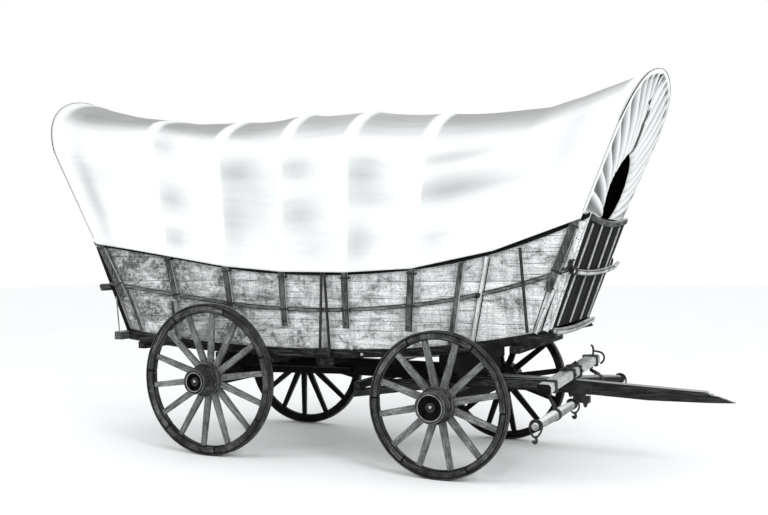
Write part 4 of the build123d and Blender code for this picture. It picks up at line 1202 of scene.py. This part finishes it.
heads = [(EVENER @ Vector((0, y, 0.054)), upward) for y in (-0.115, 0.125)]
heads += [(EVENER @ Vector((0.064, y, 0.0)), forward) for y in CLIPS_AT]
bolts("doubletree_bolts", heads, "doubletree", 0.014, 0.010)

TREES = dict(
    # frame of a single tree, and the place on the doubletree that its links hang from
    right=(tree_frame(2.990, -0.500, 0.497, -7.0, 4.0), at(2.940, -0.498, 0.640)),
    left=(tree_frame(3.092, 0.520, 0.640, -20.0, -5.0), at(3.025, 0.518, 0.730)),
)
for name, (tree, eye) in TREES.items():
    hooks = []
    for y in (-0.362, 0.362):
        out = math.copysign(0.024, y)
        waist, low = y + out, y + out * 1.4
        hooks.append(wire(on_tree(tree, (0, y, 0.046), (0.046, y, 0.030), (0.050, waist, -0.024),
                                  (0.014, low, -0.078), (-0.014, low, -0.078),
                                  (-0.050, waist, -0.024), (-0.046, y, 0.030)), 0.0075, True))
        hooks.append(wire(on_tree(tree, (0.0, low, -0.066), (0.012, low, -0.090),
                                  (0.006, low, -0.116), (-0.012, y + out * 1.5, -0.118),
                                  (-0.016, y + out * 1.6, -0.100)), 0.0110))
    for lean in (-0.032, 0.032):
        foot = tree @ Vector((0.0, lean, 0.044))
        hooks.append(wire([eye, eye * 0.55 + foot * 0.45 + Vector((0.012, 0, 0)), foot], 0.0060))
    fitted(hooks, f"{name}_trace_hooks", f"{name}_singletree", "wrought_iron")


# ---- stage --------------------------------------------------------------------------------------
def paper(name, level):
    """Finish of the matt studio floor."""
    material, tree, shader = new_finish(name)
    place = put(tree, "ShaderNodeTexCoord").outputs["Object"]
    soft = noise(tree, place, 0.8, 3, 0.5)
    tree.links.new(ramp(tree, soft, ((0.3, tint(level)), (0.7, tint(level * 1.03)))),
                   shader.inputs["Base Color"])
    shader.inputs["Roughness"].default_value = 0.95
    return material


bpy.ops.object.select_all(action="DESELECT")
bpy.ops.mesh.primitive_plane_add(size=80, location=(0, 0, 0))
floor = bpy.context.object
floor.name = "floor"
floor.data.materials.append(paper("floor_paper", 0.95))
floor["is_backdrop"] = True

CAMERA_AT = at(4.7608, -7.1354, 1.7188)
YAW, PITCH, ROLL = 0.4495, -0.0018, -0.0114
ahead = Vector((-math.sin(YAW) * math.cos(PITCH), math.cos(YAW) * math.cos(PITCH),
                math.sin(PITCH)))
level = Vector((math.cos(YAW), math.sin(YAW), 0))
upright = level.cross(ahead)
across = math.cos(ROLL) * level + math.sin(ROLL) * upright
above = math.cos(ROLL) * upright - math.sin(ROLL) * level
camera = bpy.data.objects.new("camera", bpy.data.cameras.new("camera"))
bpy.context.scene.collection.objects.link(camera)
camera.matrix_world = Matrix.Translation(CAMERA_AT) @ Matrix(
    (across, above, -ahead)).transposed().to_4x4()
camera.data.sensor_width = 36
camera.data.lens = 41.64
bpy.context.scene.camera = camera

world = bpy.data.worlds.new("studio")
bpy.context.scene.world = world
world.use_nodes = True
world.node_tree.nodes["Background"].inputs[0].default_value = (1, 1, 1, 1)
world.node_tree.nodes["Background"].inputs[1].default_value = 1.0


def soft_box(name, place, aim, size, power):
    """Square lamp that looks at a point."""
    lamp = bpy.data.lights.new(name, "AREA")
    lamp.energy = power
    lamp.size = size
    holder = bpy.data.objects.new(name, lamp)
    bpy.context.scene.collection.objects.link(holder)
    holder.location = place
    turn = (Vector(aim) - Vector(place)).to_track_quat("-Z", "Y")
    holder.rotation_euler = turn.to_euler()


soft_box("key", (-7.0, -8.0, 6.5), (0, 0, 1.4), 3.0, 260)
soft_box("front_key", (8.0, -6.0, 6.0), (1.0, 0, 1.0), 2.5, 420)
bpy.context.scene.view_settings.view_transform = "Standard"

low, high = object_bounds()
